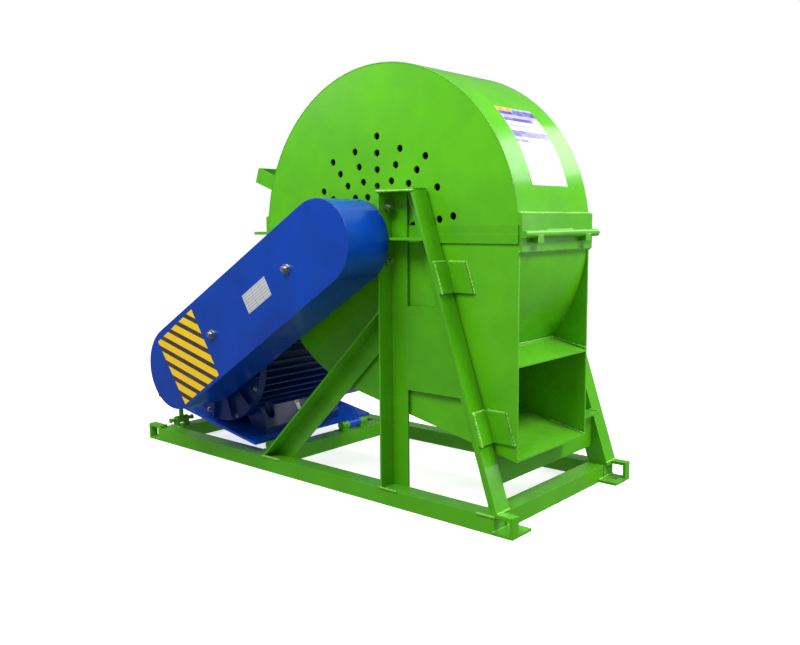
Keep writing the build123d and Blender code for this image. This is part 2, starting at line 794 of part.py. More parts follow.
with BuildPart() as cover_hinge_rod:
    with BuildSketch(elevation(casing_y - hinge_rod_overhang, hinge_x, shaft_z)):
        Circle(hinge_rod_r)
    extrude(amount=-casing_width - 2 * hinge_rod_overhang)
cover_hinge_rod.part.label = "cover_hinge_rod"
export_step(cover_hinge_rod.part, "parts/cover_hinge_rod.step")

# strip handle on the motor side: two radial legs and a grip across
with BuildPart() as cover_handle:
    with BuildSketch(around_shaft(casing_y, handle_angle)):
        with Locations((casing_radius - 1, 0)):
            Rectangle(handle_reach + 1, handle_width, align=(Align.MIN, Align.CENTER))
        Circle(casing_radius, mode=Mode.SUBTRACT)
    extrude(amount=-casing_width)
    with BuildSketch(around_shaft(casing_y + handle_thick, handle_angle)):
        with Locations((casing_radius - handle_thick, 0)):
            Rectangle(handle_reach, handle_width + 2, align=(Align.MIN, Align.CENTER))
    extrude(amount=-(casing_width - 2 * handle_thick), mode=Mode.SUBTRACT)
cover_handle.part.label = "cover_handle"
export_step(cover_handle.part, "parts/cover_handle.step")

# ---------------------------------------------------------------- rotor
disc_room = inside_width - 2 * rotor_end_gap
disc_step = (disc_room - rotor_disc_thick) / (rotor_disc_count - 1)
first_disc_y = inside_y + rotor_end_gap
disc_gap = disc_step - rotor_disc_thick
last_disc_y = first_disc_y + disc_room
shaft_near_y = pulley_mid_y - pulley_width / 2
shaft_far_y = bearing_y + inner_race_width / 2 + 8

with BuildPart() as main_shaft:
    with BuildSketch(around_shaft(shaft_near_y)):
        Circle(journal_r)
    extrude(amount=-(shaft_far_y - shaft_near_y))
    with BuildSketch(around_shaft(casing_y - post_gap + 2)):
        Circle(shaft_r)
    extrude(amount=-(casing_width + 2 * post_gap - 4))
main_shaft.part.label = "main_shaft"
export_step(main_shaft.part, "parts/main_shaft.step")

with BuildPart() as rotor_discs:
    for disc in range(rotor_disc_count):
        with BuildSketch(around_shaft(first_disc_y + disc * disc_step)):
            Circle(rotor_disc_r)
            Circle(shaft_r, mode=Mode.SUBTRACT)
            with PolarLocations(hammer_pin_circle, hammer_count, start_angle=45):
                Circle(hammer_pin_r + pin_fit, mode=Mode.SUBTRACT)
        extrude(amount=-rotor_disc_thick)
rotor_discs.part.label = "rotor_discs"
export_step(rotor_discs.part, "parts/rotor_discs.step")

# hub sleeves hold the discs apart
with BuildPart() as rotor_spacers:
    for gap in range(rotor_disc_count - 1):
        with BuildSketch(around_shaft(first_disc_y + rotor_disc_thick + gap * disc_step)):
            Circle(hub_r)
            Circle(shaft_r, mode=Mode.SUBTRACT)
        extrude(amount=-disc_gap)
rotor_spacers.part.label = "rotor_spacers"
export_step(rotor_spacers.part, "parts/rotor_spacers.step")

with BuildPart() as hammer_pins:
    with BuildSketch(around_shaft(first_disc_y - hammer_pin_head)):
        with PolarLocations(hammer_pin_circle, hammer_count, start_angle=45):
            Circle(hammer_pin_r)
    extrude(amount=-(disc_room + 2 * hammer_pin_head))
    for y in (first_disc_y - hammer_pin_head, last_disc_y):
        with BuildSketch(around_shaft(y)):
            with PolarLocations(hammer_pin_circle, hammer_count, start_angle=45):
                Circle(1.5 * hammer_pin_r)
        extrude(amount=-hammer_pin_head)
hammer_pins.part.label = "hammer_pins"
export_step(hammer_pins.part, "parts/hammer_pins.step")

# each row: flat hammers hanging from one pin, one in each gap, with a sleeve each side of it
for row in range(hammer_count):
    row_angle = radians(45 + 360 / hammer_count * row)
    pin_x = shaft_x + hammer_pin_circle * cos(row_angle)
    pin_z = shaft_z + hammer_pin_circle * sin(row_angle)
    with BuildPart() as hammers:
        for gap in range(rotor_disc_count - 1):
            middle_y = first_disc_y + rotor_disc_thick + gap * disc_step + disc_gap / 2
            with BuildSketch(elevation(middle_y - hammer_thick / 2, pin_x, pin_z)):
                Circle(hammer_width / 2)
                Rectangle(hammer_width, hammer_reach, align=(Align.CENTER, Align.MAX))
                Circle(hammer_pin_r + hammer_fit, mode=Mode.SUBTRACT)
            extrude(amount=-hammer_thick)
            sleeve_y = middle_y - disc_gap / 2 + hammer_side_gap
            with BuildSketch(elevation(sleeve_y, pin_x, pin_z)):
                Circle(1.5 * hammer_pin_r)
                Circle(hammer_pin_r + hammer_fit, mode=Mode.SUBTRACT)
            extrude(amount=-(disc_gap - 2 * hammer_side_gap))
    hammers.part.label = f"hammer_row_{row + 1}"
    export_step(hammers.part, f"parts/hammer_row_{row + 1}.step")

# ---------------------------------------------------------------- bearings
# pillow blocks lie on their sides, bolted to the posts' flanges
with BuildPart() as bearing_housings:
    with BuildSketch(around_shaft(-bearing_y - bearing_base_width / 2)):
        Circle(bearing_outer_r)
        with Locations((bearing_height, 0)):
            Rectangle(bearing_height, 1.7 * bearing_outer_r, align=(Align.MAX, Align.CENTER))
            Rectangle(bearing_base_thick, bearing_base_length, align=(Align.MAX, Align.CENTER))
        Circle(bearing_race_r, mode=Mode.SUBTRACT)
    extrude(amount=-bearing_base_width)
    with Locations(Plane((post_x, -bearing_y, shaft_z), z_dir=(1, 0, 0))):
        with GridLocations(bearing_bolt_spacing, 0, 2, 1):
            Hole(bearing_bolt_r + pin_fit, depth=2 * bearing_base_thick)
    with BuildSketch(around_shaft(-bearing_y - inner_race_width / 4)):
        Circle(bearing_race_r)
        Circle(inner_race_r + running_gap, mode=Mode.SUBTRACT)
    extrude(amount=-inner_race_width / 2)
    mirror(about=Plane.XZ)
bearing_housings.part.label = "bearing_housings"
export_step(bearing_housings.part, "parts/bearing_housings.step")

with BuildPart() as bearing_inner_rings:
    with BuildSketch(around_shaft(-bearing_y - inner_race_width / 2)):
        Circle(inner_race_r)
        Circle(journal_r, mode=Mode.SUBTRACT)
    extrude(amount=-inner_race_width)
    mirror(about=Plane.XZ)
bearing_inner_rings.part.label = "bearing_inner_rings"
export_step(bearing_inner_rings.part, "parts/bearing_inner_rings.step")

bolt_across = 3 * bearing_bolt_r
with BuildPart() as bearing_bolts:
    for x, height in (
        (post_x - bearing_base_thick - bearing_bolt_r, bearing_bolt_r),
        (post_x + angle_thick, 1.6 * bearing_bolt_r),
    ):
        with BuildSketch(Plane((x, -bearing_y, shaft_z), z_dir=(1, 0, 0))):
            with GridLocations(bearing_bolt_spacing, 0, 2, 1):
                RegularPolygon(bolt_across / 2, 6, major_radius=False)
        extrude(amount=height)
    with BuildSketch(Plane((post_x - bearing_base_thick, -bearing_y, shaft_z), z_dir=(1, 0, 0))):
        with GridLocations(bearing_bolt_spacing, 0, 2, 1):
            Circle(bearing_bolt_r)
    extrude(amount=bearing_base_thick + angle_thick + 3 * bearing_bolt_r)
    mirror(about=Plane.XZ)
bearing_bolts.part.label = "bearing_bolts"
export_step(bearing_bolts.part, "parts/bearing_bolts.step")

# ---------------------------------------------------------------- belt drive
def pulley(x, z, radius, bore):
    """Grooved pulley on an axis along Y."""
    section = Plane(origin=(x, pulley_mid_y, z), x_dir=(0, 1, 0), z_dir=(1, 0, 0))
    mouth = belt_top / 2 - tan(radians(belt_angle)) + belt_side_gap
    floor = mouth - pulley_groove * tan(radians(belt_angle))
    with BuildPart() as wheel:
        with BuildSketch(section):
            with Locations((0, bore)):
                Rectangle(pulley_width, radius - bore, align=(Align.CENTER, Align.MIN))
            for belt in range(belt_count):
                middle = (belt - (belt_count - 1) / 2) * belt_pitch
                Polygon(
                    (middle - mouth, radius),
                    (middle + mouth, radius),
                    (middle + floor, radius - pulley_groove),
                    (middle - floor, radius - pulley_groove),
                    align=None,
                    mode=Mode.SUBTRACT,
                )
            with Locations((-pulley_width / 2, (bore + radius) / 2)):
                Rectangle(pulley_width / 3, (radius - bore) / 3, mode=Mode.SUBTRACT)
        revolve(axis=Axis((x, pulley_mid_y, z), (0, 1, 0)))
    return wheel


driven_pulley = pulley(shaft_x, shaft_z, driven_pulley_r, journal_r)
driven_pulley.part.label = "driven_pulley"
export_step(driven_pulley.part, "parts/driven_pulley.step")

drive_pulley = pulley(motor_x, motor_z, drive_pulley_r, motor_shaft_r)
drive_pulley.part.label = "drive_pulley"
export_step(drive_pulley.part, "parts/drive_pulley.step")

# wedge belts, each one swept round both pulleys
shaft_span = hypot(shaft_x - motor_x, shaft_z - motor_z)
belt_slope = degrees(atan2(shaft_z - motor_z, shaft_x - motor_x))
wrap = degrees(acos((drive_pulley_r - driven_pulley_r) / shaft_span))
with BuildPart() as v_belts:
    for belt in range(belt_count):
        belt_y = pulley_mid_y + (belt - (belt_count - 1) / 2) * belt_pitch
        with BuildLine(elevation(belt_y)) as belt_loop:
            round_motor = CenterArc((motor_x, motor_z), drive_pulley_r, belt_slope + wrap, 360 - 2 * wrap)
            round_shaft = CenterArc((shaft_x, shaft_z), driven_pulley_r, belt_slope - wrap, 2 * wrap)
            Line(round_motor @ 1, round_shaft @ 0)
            Line(round_shaft @ 1, round_motor @ 0)
        inner_half = belt_top / 2 - belt_height * tan(radians(belt_angle))
        start = belt_loop.wires()[0]
        with BuildSketch(Plane(origin=start @ 0, x_dir=(0, 1, 0), z_dir=start % 0)):
            Polygon(
                (-belt_top / 2, -1),
                (belt_top / 2, -1),
                (inner_half, belt_height - 1),
                (-inner_half, belt_height - 1),
                align=None,
            )
        sweep()
v_belts.part.label = "v_belts"
export_step(v_belts.part, "parts/v_belts.step")

with BuildPart() as belt_guard:
    with BuildSketch(elevation(guard_front_y)):
        with Locations((guard_top_x, guard_top_z)):
            Circle(guard_top_r)
        with Locations((motor_x, motor_z)):
            Circle(guard_low_r)
        make_hull()
    extrude(amount=-guard_depth)
    with BuildSketch(elevation(guard_front_y + guard_sheet)):
        with Locations((guard_top_x, guard_top_z)):
            Circle(guard_top_r - guard_sheet)
        with Locations((motor_x, motor_z)):
            Circle(guard_low_r - guard_sheet)
        make_hull()
    extrude(amount=-guard_depth, mode=Mode.SUBTRACT)
    with BuildSketch(along_guard(guard_front_y)):
        with Locations((-guard_bolt_near, 0), (-guard_bolt_far, 0)):
            Circle(guard_bolt_r + pin_fit)
    extrude(amount=-guard_sheet, mode=Mode.SUBTRACT)
belt_guard.part.label = "belt_guard"
export_step(belt_guard.part, "parts/belt_guard.step")

# arm behind the belts: welded to the post, with two legs to the casing and a tab at each guard bolt
arm_y = -base_side - guard_arm_thick
arm_start = sqrt((guard_top_r - guard_sheet) ** 2 - (guard_arm_drop + guard_arm_width / 2) ** 2) - 4
with BuildPart() as guard_bracket:
    with BuildSketch(along_guard(arm_y)):
        with Locations((arm_start, -guard_arm_drop)):
            arm_length = arm_start + guard_bolt_far + guard_arm_width / 2
            Rectangle(arm_length, guard_arm_width, align=(Align.MAX, Align.CENTER))
        for bolt in (guard_bolt_near, guard_bolt_far):
            with Locations((-bolt, guard_arm_width / 2)):
                Rectangle(guard_arm_width, guard_arm_drop + guard_arm_width / 2, align=(Align.CENTER, Align.MAX))
            with Locations((-bolt, 0)):
                Circle(guard_bolt_r + pin_fit, mode=Mode.SUBTRACT)
    extrude(amount=-guard_arm_thick)
    with BuildSketch(along_guard(-base_side)):
        with Locations(*[(-leg, -guard_arm_drop) for leg in guard_legs]):
            Circle(guard_leg_r)
    extrude(amount=-(casing_y + base_side))
guard_bracket.part.label = "guard_bracket"
export_step(guard_bracket.part, "parts/guard_bracket.step")

# two long bolts through the guard, each with a sleeve between the belts' runs
bolt_places = [(-guard_bolt_near, 0), (-guard_bolt_far, 0)]
with BuildPart() as guard_bolts:
    with BuildSketch(along_guard(guard_front_y - guard_washer_thick - 2 * guard_bolt_r)):
        with Locations(*bolt_places):
            Circle(guard_bolt_r)
    extrude(amount=-(arm_y + guard_arm_thick + 1.2 * guard_bolt_r - guard_front_y + guard_washer_thick + 2 * guard_bolt_r))
    with BuildSketch(along_guard(guard_front_y - guard_washer_thick)):
        with Locations(*bolt_places):
            Circle(guard_washer_r)
    extrude(amount=-guard_washer_thick)
    for y, height in ((guard_front_y - guard_washer_thick, guard_bolt_r), (arm_y + guard_arm_thick, -guard_bolt_r)):
        with BuildSketch(along_guard(y)):
            with Locations(*bolt_places):
                RegularPolygon(1.5 * guard_bolt_r, 6, major_radius=False)
        extrude(amount=height)
    with BuildSketch(along_guard(guard_front_y + guard_sheet)):
        with Locations(*bolt_places):
            Circle(sleeve_r)
            Circle(guard_bolt_r + pin_fit, mode=Mode.SUBTRACT)
    extrude(amount=-(arm_y - guard_front_y - guard_sheet))
guard_bolts.part.label = "guard_bolts"
export_step(guard_bolts.part, "parts/guard_bolts.step")

with BuildPart() as nameplate:
    with BuildSketch(along_guard(guard_front_y)):
        with Locations((-nameplate_along, 0)):
            Rectangle(nameplate_length, nameplate_width)
    extrude(amount=nameplate_thick)
    with BuildSketch(along_guard(guard_front_y - nameplate_thick)):
        with Locations((-nameplate_along, 0)):
            with GridLocations(nameplate_length - 4 * nameplate_rivet_r, nameplate_width - 4 * nameplate_rivet_r, 2, 2):
                Circle(nameplate_rivet_r)
    extrude(amount=nameplate_thick)
nameplate.part.label = "nameplate"
export_step(nameplate.part, "parts/nameplate.step")

# ---------------------------------------------------------------- motor plate and its hinge
plate_width = plate_far_y - plate_near_y
plate_mid_y = (plate_near_y + plate_far_y) / 2
hinge_ys = (plate_mid_y - hinge_spread / 2, plate_mid_y + hinge_spread / 2)
plate_start = hinge_pipe_r + 2
tension_along = (plate_hinge_x - tension_x + plate_rise * sin(tilt)) / cos(tilt)
with BuildPart() as motor_plate:
    with BuildSketch(on_plate(plate_near_y)):
        with Locations((-plate_start, plate_rise)):
            Rectangle(plate_length - plate_start, plate_thick, align=(Align.MAX, Align.MAX))
    extrude(amount=-plate_width)
    for y in hinge_ys:
        with BuildSketch(on_plate(y - hinge_pipe_length / 2)):
            Circle(hinge_pipe_r)
            with Locations((0, plate_rise)):
                Rectangle(plate_start, plate_thick, align=(Align.MAX, Align.MAX))
            Circle(hinge_pin_r + running_gap, mode=Mode.SUBTRACT)
        extrude(amount=-hinge_pipe_length)
    plate_top = on_plate(tension_y, tension_along, plate_rise)
    with BuildSketch(Plane(origin=plate_top.origin, x_dir=plate_top.x_dir, z_dir=plate_top.y_dir)):
        with Locations((slot_run, 0)):
            Rectangle(slot_run + plate_length, 2 * tension_bolt_r + 3, align=(Align.MAX, Align.CENTER))
    extrude(amount=-2 * plate_thick, mode=Mode.SUBTRACT)
    for x in (-motor_foot_spacing / 2, motor_foot_spacing / 2):
        for y in (motor_first_foot, motor_first_foot + motor_foot_length):
            hole_plane = on_plate(motor_front_y + y, motor_along - x, plate_rise)
            with BuildSketch(Plane(origin=hole_plane.origin, x_dir=hole_plane.x_dir, z_dir=hole_plane.y_dir)):
                Circle(motor_bolt_r + pin_fit)
            extrude(amount=-2 * plate_thick, mode=Mode.SUBTRACT)
motor_plate.part.label = "motor_plate"
export_step(motor_plate.part, "parts/motor_plate.step")

with BuildPart() as motor_hinge:
    pipe_offset = (hinge_pipe_length + hinge_base_pipe_length) / 2 + hinge_side_gap
    for middle in hinge_ys:
        for y in (middle - pipe_offset, middle + pipe_offset):
            with BuildSketch(elevation(y - hinge_base_pipe_length / 2, plate_hinge_x, hinge_z)):
                Circle(hinge_pipe_r)
                Rectangle(1.4 * hinge_pipe_r, plate_hinge_rise, align=(Align.CENTER, Align.MAX))
                Circle(hinge_pin_r + pin_fit, mode=Mode.SUBTRACT)
            extrude(amount=-hinge_base_pipe_length)
        pin_length = 2 * (pipe_offset + hinge_base_pipe_length / 2) + hinge_pin_r
        with BuildSketch(elevation(middle - pin_length / 2, plate_hinge_x, hinge_z)):
            Circle(hinge_pin_r)
        extrude(amount=-pin_length)
motor_hinge.part.label = "motor_hinge"
export_step(motor_hinge.part, "parts/motor_hinge.step")

# ---------------------------------------------------------------- motor
def motor_at(y):
    """Plane square to the motor's shaft, y behind its front face."""
    return on_plate(motor_front_y + y, motor_along, plate_rise + motor_foot_height)


frame_start = motor_shield_length
frame_end = frame_start + motor_frame_length
cowl_start = frame_end + motor_shield_length
cowl_end = cowl_start + motor_cowl_length
stator_start = frame_start + (motor_frame_length - motor_stator_length) / 2
with BuildPart() as motor_frame:
    with BuildSketch(motor_at(frame_start)):
        Circle(motor_body_r)
        with PolarLocations((motor_body_r + motor_fin_r) / 2 - 3, motor_fin_count, start_angle=-52, angular_range=284):
            Rectangle(motor_fin_r - motor_body_r + 6, motor_fin_thick)
        Circle(motor_bore_r, mode=Mode.SUBTRACT)
    extrude(amount=-motor_frame_length)
    foot_side = motor_foot_spacing / 2
    foot_half = motor_foot_width / 2
    with BuildSketch(motor_at(motor_first_foot - foot_half)):
        for side in (-1, 1):
            Polygon(
                (side * (foot_side + foot_half), -motor_foot_height),
                (side * (foot_side + foot_half), -motor_foot_height + motor_foot_thick),
                (side * motor_body_r * 0.8, -motor_body_r * 0.58),
                (side * motor_body_r * 0.45, -motor_body_r * 0.87),
                (side * (foot_side - foot_half), -motor_foot_height),
                align=None,
            )
    extrude(amount=-(motor_foot_length + motor_foot_width))
    for y in (motor_first_foot, motor_first_foot + motor_foot_length):
        for x in (-foot_side, foot_side):
            hole_plane = on_plate(motor_front_y + y, motor_along - x, plate_rise)
            with BuildSketch(Plane(origin=hole_plane.origin, x_dir=hole_plane.x_dir, z_dir=hole_plane.y_dir)):
                Circle(motor_bolt_r + pin_fit)
            extrude(amount=motor_foot_thick, mode=Mode.SUBTRACT)
            with BuildSketch(
                Plane(
                    origin=hole_plane.origin + hole_plane.y_dir * motor_foot_thick,
                    x_dir=hole_plane.x_dir,
                    z_dir=hole_plane.y_dir,
                )
            ):
                Circle(2.4 * motor_bolt_r)
            extrude(amount=3 * motor_foot_thick, mode=Mode.SUBTRACT)
motor_frame.part.label = "motor_frame"
export_step(motor_frame.part, "parts/motor_frame.step")

with BuildPart() as motor_stator:
    with BuildSketch(motor_at(stator_start)):
        Circle(motor_bore_r)
        Circle(motor_core_r + motor_air_gap, mode=Mode.SUBTRACT)
    extrude(amount=-motor_stator_length)
motor_stator.part.label = "motor_stator"
export_step(motor_stator.part, "parts/motor_stator.step")

# end shields: a rim on the frame, radial ribs and a bearing boss
with BuildPart() as motor_end_shields:
    for disc_start, rib_start in (
        (0.4 * motor_shield_length, 0.0),
        (frame_end, frame_end + 0.6 * motor_shield_length),
    ):
        with BuildSketch(motor_at(disc_start)):
            Circle(motor_fin_r)
            Circle(motor_shaft_r + running_gap, mode=Mode.SUBTRACT)
        extrude(amount=-0.6 * motor_shield_length)
        with BuildSketch(motor_at(rib_start)):
            Circle(motor_boss_r)
            with PolarLocations((motor_boss_r + motor_fin_r) / 2 - 1, motor_rib_count):
                Rectangle(motor_fin_r - motor_boss_r, motor_fin_thick)
            Circle(motor_shaft_r + running_gap, mode=Mode.SUBTRACT)
        extrude(amount=-0.4 * motor_shield_length)
motor_end_shields.part.label = "motor_end_shields"
export_step(motor_end_shields.part, "parts/motor_end_shields.step")

with BuildPart() as motor_shaft:
    with BuildSketch(motor_at(-motor_shaft_reach)):
        Circle(motor_shaft_r)
    extrude(amount=-(motor_shaft_reach + cowl_start + motor_fan_width))
    with BuildSketch(motor_at(stator_start)):
        Circle(motor_core_r)
    extrude(amount=-motor_stator_length)
motor_shaft.part.label = "motor_shaft"
export_step(motor_shaft.part, "parts/motor_shaft.step")

with BuildPart() as motor_fan:
    with BuildSketch(motor_at(cowl_start + fan_side_gap)):
        Circle(motor_fan_hub_r)
        with PolarLocations((motor_fan_hub_r + motor_fan_r) / 2 - 5, motor_fan_blades):
            Rectangle(motor_fan_r - motor_fan_hub_r + 10, motor_fin_thick)
        Circle(motor_shaft_r, mode=Mode.SUBTRACT)
    extrude(amount=-(motor_fan_width - fan_side_gap))
motor_fan.part.label = "motor_fan"
export_step(motor_fan.part, "parts/motor_fan.step")

with BuildPart() as fan_cowl:
    with BuildSketch(motor_at(cowl_start)):
        Circle(motor_fin_r)
    extrude(amount=-motor_cowl_length)
    with BuildSketch(motor_at(cowl_start)):
        Circle(motor_fin_r - motor_cowl_sheet)
    extrude(amount=-(motor_cowl_length - motor_cowl_sheet), mode=Mode.SUBTRACT)
    for ring in range(cowl_slot_rings):
        with BuildSketch(motor_at(cowl_end - 2 * motor_cowl_sheet)):
            with PolarLocations(cowl_first_slot + ring * cowl_slot_step, cowl_slots):
                SlotOverall(cowl_slot_length, cowl_slot_width)
        extrude(amount=-4 * motor_cowl_sheet, mode=Mode.SUBTRACT)
fan_cowl.part.label = "fan_cowl"
export_step(fan_cowl.part, "parts/fan_cowl.step")

# terminal box on the motor's side, above the foot nearer the casing
box_angle = radians(terminal_box_angle)
with BuildPart() as terminal_box:
    box_plane = motor_at(frame_start + terminal_box_inset)
    out = box_plane.x_dir * cos(box_angle) + box_plane.y_dir * sin(box_angle)
    across = box_plane.y_dir * cos(box_angle) - box_plane.x_dir * sin(box_angle)
    base = Plane(origin=box_plane.origin + out * motor_fin_r, x_dir=across, z_dir=out)
    with BuildSketch(base):
        RectangleRounded(terminal_box_width, terminal_box_length, 8)
    extrude(amount=terminal_box_height)
    with BuildSketch(base.offset(terminal_box_height)):
        RectangleRounded(terminal_box_width + 8, terminal_box_length + 8, 10)
    extrude(amount=terminal_lid_thick)
terminal_box.part.label = "terminal_box"
export_step(terminal_box.part, "parts/terminal_box.step")

with BuildPart() as motor_bolts:
    for y in (motor_first_foot, motor_first_foot + motor_foot_length):
        for x in (-foot_side, foot_side):
            for rise, direction in ((motor_foot_thick, 1), (-plate_thick, -1)):
                spot = on_plate(motor_front_y + y, motor_along - x, plate_rise + rise)
                with BuildSketch(Plane(origin=spot.origin, x_dir=spot.x_dir, z_dir=spot.y_dir)):
                    RegularPolygon(1.5 * motor_bolt_r, 6, major_radius=False)
                extrude(amount=direction * 1.2 * motor_bolt_r)
            spot = on_plate(motor_front_y + y, motor_along - x, plate_rise - plate_thick - 2 * motor_bolt_r)
            with BuildSketch(Plane(origin=spot.origin, x_dir=spot.x_dir, z_dir=spot.y_dir)):
                Circle(motor_bolt_r)
            extrude(amount=plate_thick + motor_foot_thick + 2 * motor_bolt_r)
motor_bolts.part.label = "motor_bolts"
export_step(motor_bolts.part, "parts/motor_bolts.step")

# ---------------------------------------------------------------- belt tension bolt
tension_z = rail_top + tension_rise
with BuildPart() as tension_bolt:
    eye_half = tension_lug_gap / 2 - 1
    with BuildSketch(elevation(tension_y - eye_half, tension_x, tension_z)):
        Circle(1.55 * tension_bolt_r)
        Circle(tension_pin_r + running_gap, mode=Mode.SUBTRACT)
    extrude(amount=-2 * eye_half)
    with BuildSketch(Plane.XY.offset(tension_z + tension_pin_r + 3)):
        with Locations((tension_x, tension_y)):
            Circle(tension_bolt_r)
    extrude(amount=tension_bolt_length - tension_pin_r - 3)
tension_bolt.part.label = "tension_bolt"
export_step(tension_bolt.part, "parts/tension_bolt.step")

with BuildPart() as tension_lugs:
    for y in (tension_y - tension_lug_gap / 2 - tension_lug_thick, tension_y + tension_lug_gap / 2):
        with BuildSketch(elevation(y, tension_x, tension_z)):
            Circle(1.55 * tension_bolt_r)
            Rectangle(3.1 * tension_bolt_r, tension_rise, align=(Align.CENTER, Align.MAX))
            Circle(tension_pin_r + pin_fit, mode=Mode.SUBTRACT)
        extrude(amount=-tension_lug_thick)
    pin_reach = tension_pin_length / 2
    with BuildSketch(elevation(tension_y - pin_reach, tension_x, tension_z)):
        Circle(tension_pin_r)
    extrude(amount=-2 * pin_reach)
    for y in (tension_y - pin_reach - tension_pin_head, tension_y + pin_reach):
        with BuildSketch(elevation(y, tension_x, tension_z)):
            Circle(1.4 * tension_pin_r)
        extrude(amount=-tension_pin_head)
tension_lugs.part.label = "tension_lugs"
export_step(tension_lugs.part, "parts/tension_lugs.step")

# nuts above and below the motor plate; the gap leaves room for the plate's slope under a level nut
plate_z = hinge_z + tension_along * sin(tilt) + plate_rise * cos(tilt)
nut_corner = tension_nut_size / 2 / cos(radians(30))
nut_gap = tension_nut_gap + nut_corner * tan(tilt)
with BuildPart() as tension_nuts:
    for start, height in (
        (plate_z + nut_gap, tension_bolt_r * 1.6),
        (plate_z - plate_thick / cos(tilt) - nut_gap, -tension_bolt_r * 1.6),
    ):
        with BuildSketch(Plane.XY.offset(start)):
            with Locations((tension_x, tension_y)):
                RegularPolygon(tension_nut_size / 2, 6, major_radius=False)
                Circle(tension_bolt_r + running_gap, mode=Mode.SUBTRACT)
        extrude(amount=height)
tension_nuts.part.label = "tension_nuts"
export_step(tension_nuts.part, "parts/tension_nuts.step")
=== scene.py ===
# Hammer mill: enamel, steel and rubber finishes, weld beads, labels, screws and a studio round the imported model.
from math import cos, radians, sin

import bmesh
import bpy
from mathutils import Matrix, Vector


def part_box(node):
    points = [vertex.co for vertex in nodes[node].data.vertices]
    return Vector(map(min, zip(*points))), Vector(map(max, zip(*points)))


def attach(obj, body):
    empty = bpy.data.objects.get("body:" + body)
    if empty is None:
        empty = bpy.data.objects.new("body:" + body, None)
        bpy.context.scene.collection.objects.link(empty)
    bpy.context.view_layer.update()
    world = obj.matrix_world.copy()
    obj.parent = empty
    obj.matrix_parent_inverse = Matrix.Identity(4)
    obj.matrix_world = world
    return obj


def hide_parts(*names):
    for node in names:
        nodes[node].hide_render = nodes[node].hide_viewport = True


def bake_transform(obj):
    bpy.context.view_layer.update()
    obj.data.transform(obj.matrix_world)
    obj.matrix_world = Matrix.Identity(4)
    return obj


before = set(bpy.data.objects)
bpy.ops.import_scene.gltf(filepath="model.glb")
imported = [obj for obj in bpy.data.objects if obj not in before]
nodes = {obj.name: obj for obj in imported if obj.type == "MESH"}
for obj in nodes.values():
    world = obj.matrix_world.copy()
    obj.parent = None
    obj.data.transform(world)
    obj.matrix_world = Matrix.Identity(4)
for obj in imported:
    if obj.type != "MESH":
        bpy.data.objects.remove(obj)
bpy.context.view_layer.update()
scene = bpy.context.scene
mm = 0.001

# camera: its place in metres, its turns in radians, its lens in mm
cameraSettings = {"place": (2.015, -2.153, 0.842), "yaw": -0.7102, "pitch": 0.1198, "roll": -0.0079, "focal": 37.6}


def makeCamera(s):
    ahead = Vector((sin(s["yaw"]) * cos(s["pitch"]), cos(s["yaw"]) * cos(s["pitch"]), -sin(s["pitch"])))
    side = ahead.cross(Vector((0, 0, 1))).normalized()
    up = side.cross(ahead)
    right = cos(s["roll"]) * side + sin(s["roll"]) * up
    top = -sin(s["roll"]) * side + cos(s["roll"]) * up
    data = bpy.data.cameras.new("camera")
    data.lens = s["focal"]
    data.sensor_width = 36
    camera = bpy.data.objects.new("camera", data)
    scene.collection.objects.link(camera)
    turned = Matrix((right, top, -ahead)).transposed().to_4x4()
    camera.matrix_world = Matrix.Translation(s["place"]) @ turned
    scene.camera = camera


makeCamera(cameraSettings)
print("camera placed")


# sRGB hex text to a linear colour
def linear(hexText):
    parts = [int(hexText[i:i + 2], 16) / 255 for i in (1, 3, 5)]
    return tuple(c / 12.92 if c <= 0.04045 else ((c + 0.055) / 1.055) ** 2.4 for c in parts) + (1.0,)


def addNode(tree, kind, settings=None, links=None):
    # sockets go by name, or by number where names repeat: a colour Mix has its colours at 6 and 7, its result at 2
    node = tree.nodes.new(kind)
    for name, value in (settings or {}).items():
        if isinstance(name, int) or name in node.inputs:
            node.inputs[name].default_value = value
        else:
            setattr(node, name, value)
    for name, socket in (links or {}).items():
        tree.links.new(socket, node.inputs[name])
    return node


def startMaterial(name, surface):
    material = bpy.data.materials.new(name)
    material.use_nodes = True
    tree = material.node_tree
    shader = tree.nodes["Principled BSDF"]
    for key, value in surface.items():
        shader.inputs[key].default_value = value
    place = addNode(tree, "ShaderNodeTexCoord").outputs["Object"]
    return material, tree, shader, place


def coverSurface(tree, shader, colour, marks, rough, relief=None):
    # rough holds the roughness where the marks are faint and where they are strong
    tree.links.new(colour, shader.inputs["Base Color"])
    span = {"From Min": 0.3, "From Max": 0.7, "To Min": rough[0], "To Max": rough[1]}
    polish = addNode(tree, "ShaderNodeMapRange", span, {"Value": marks})
    tree.links.new(polish.outputs["Result"], shader.inputs["Roughness"])
    if relief:  # strength, height in mm, and what it follows
        strength, height, links = relief
        bump = addNode(tree, "ShaderNodeBump", {"Strength": strength, "Distance": height * mm}, links)
        tree.links.new(bump.outputs["Normal"], shader.inputs["Normal"])


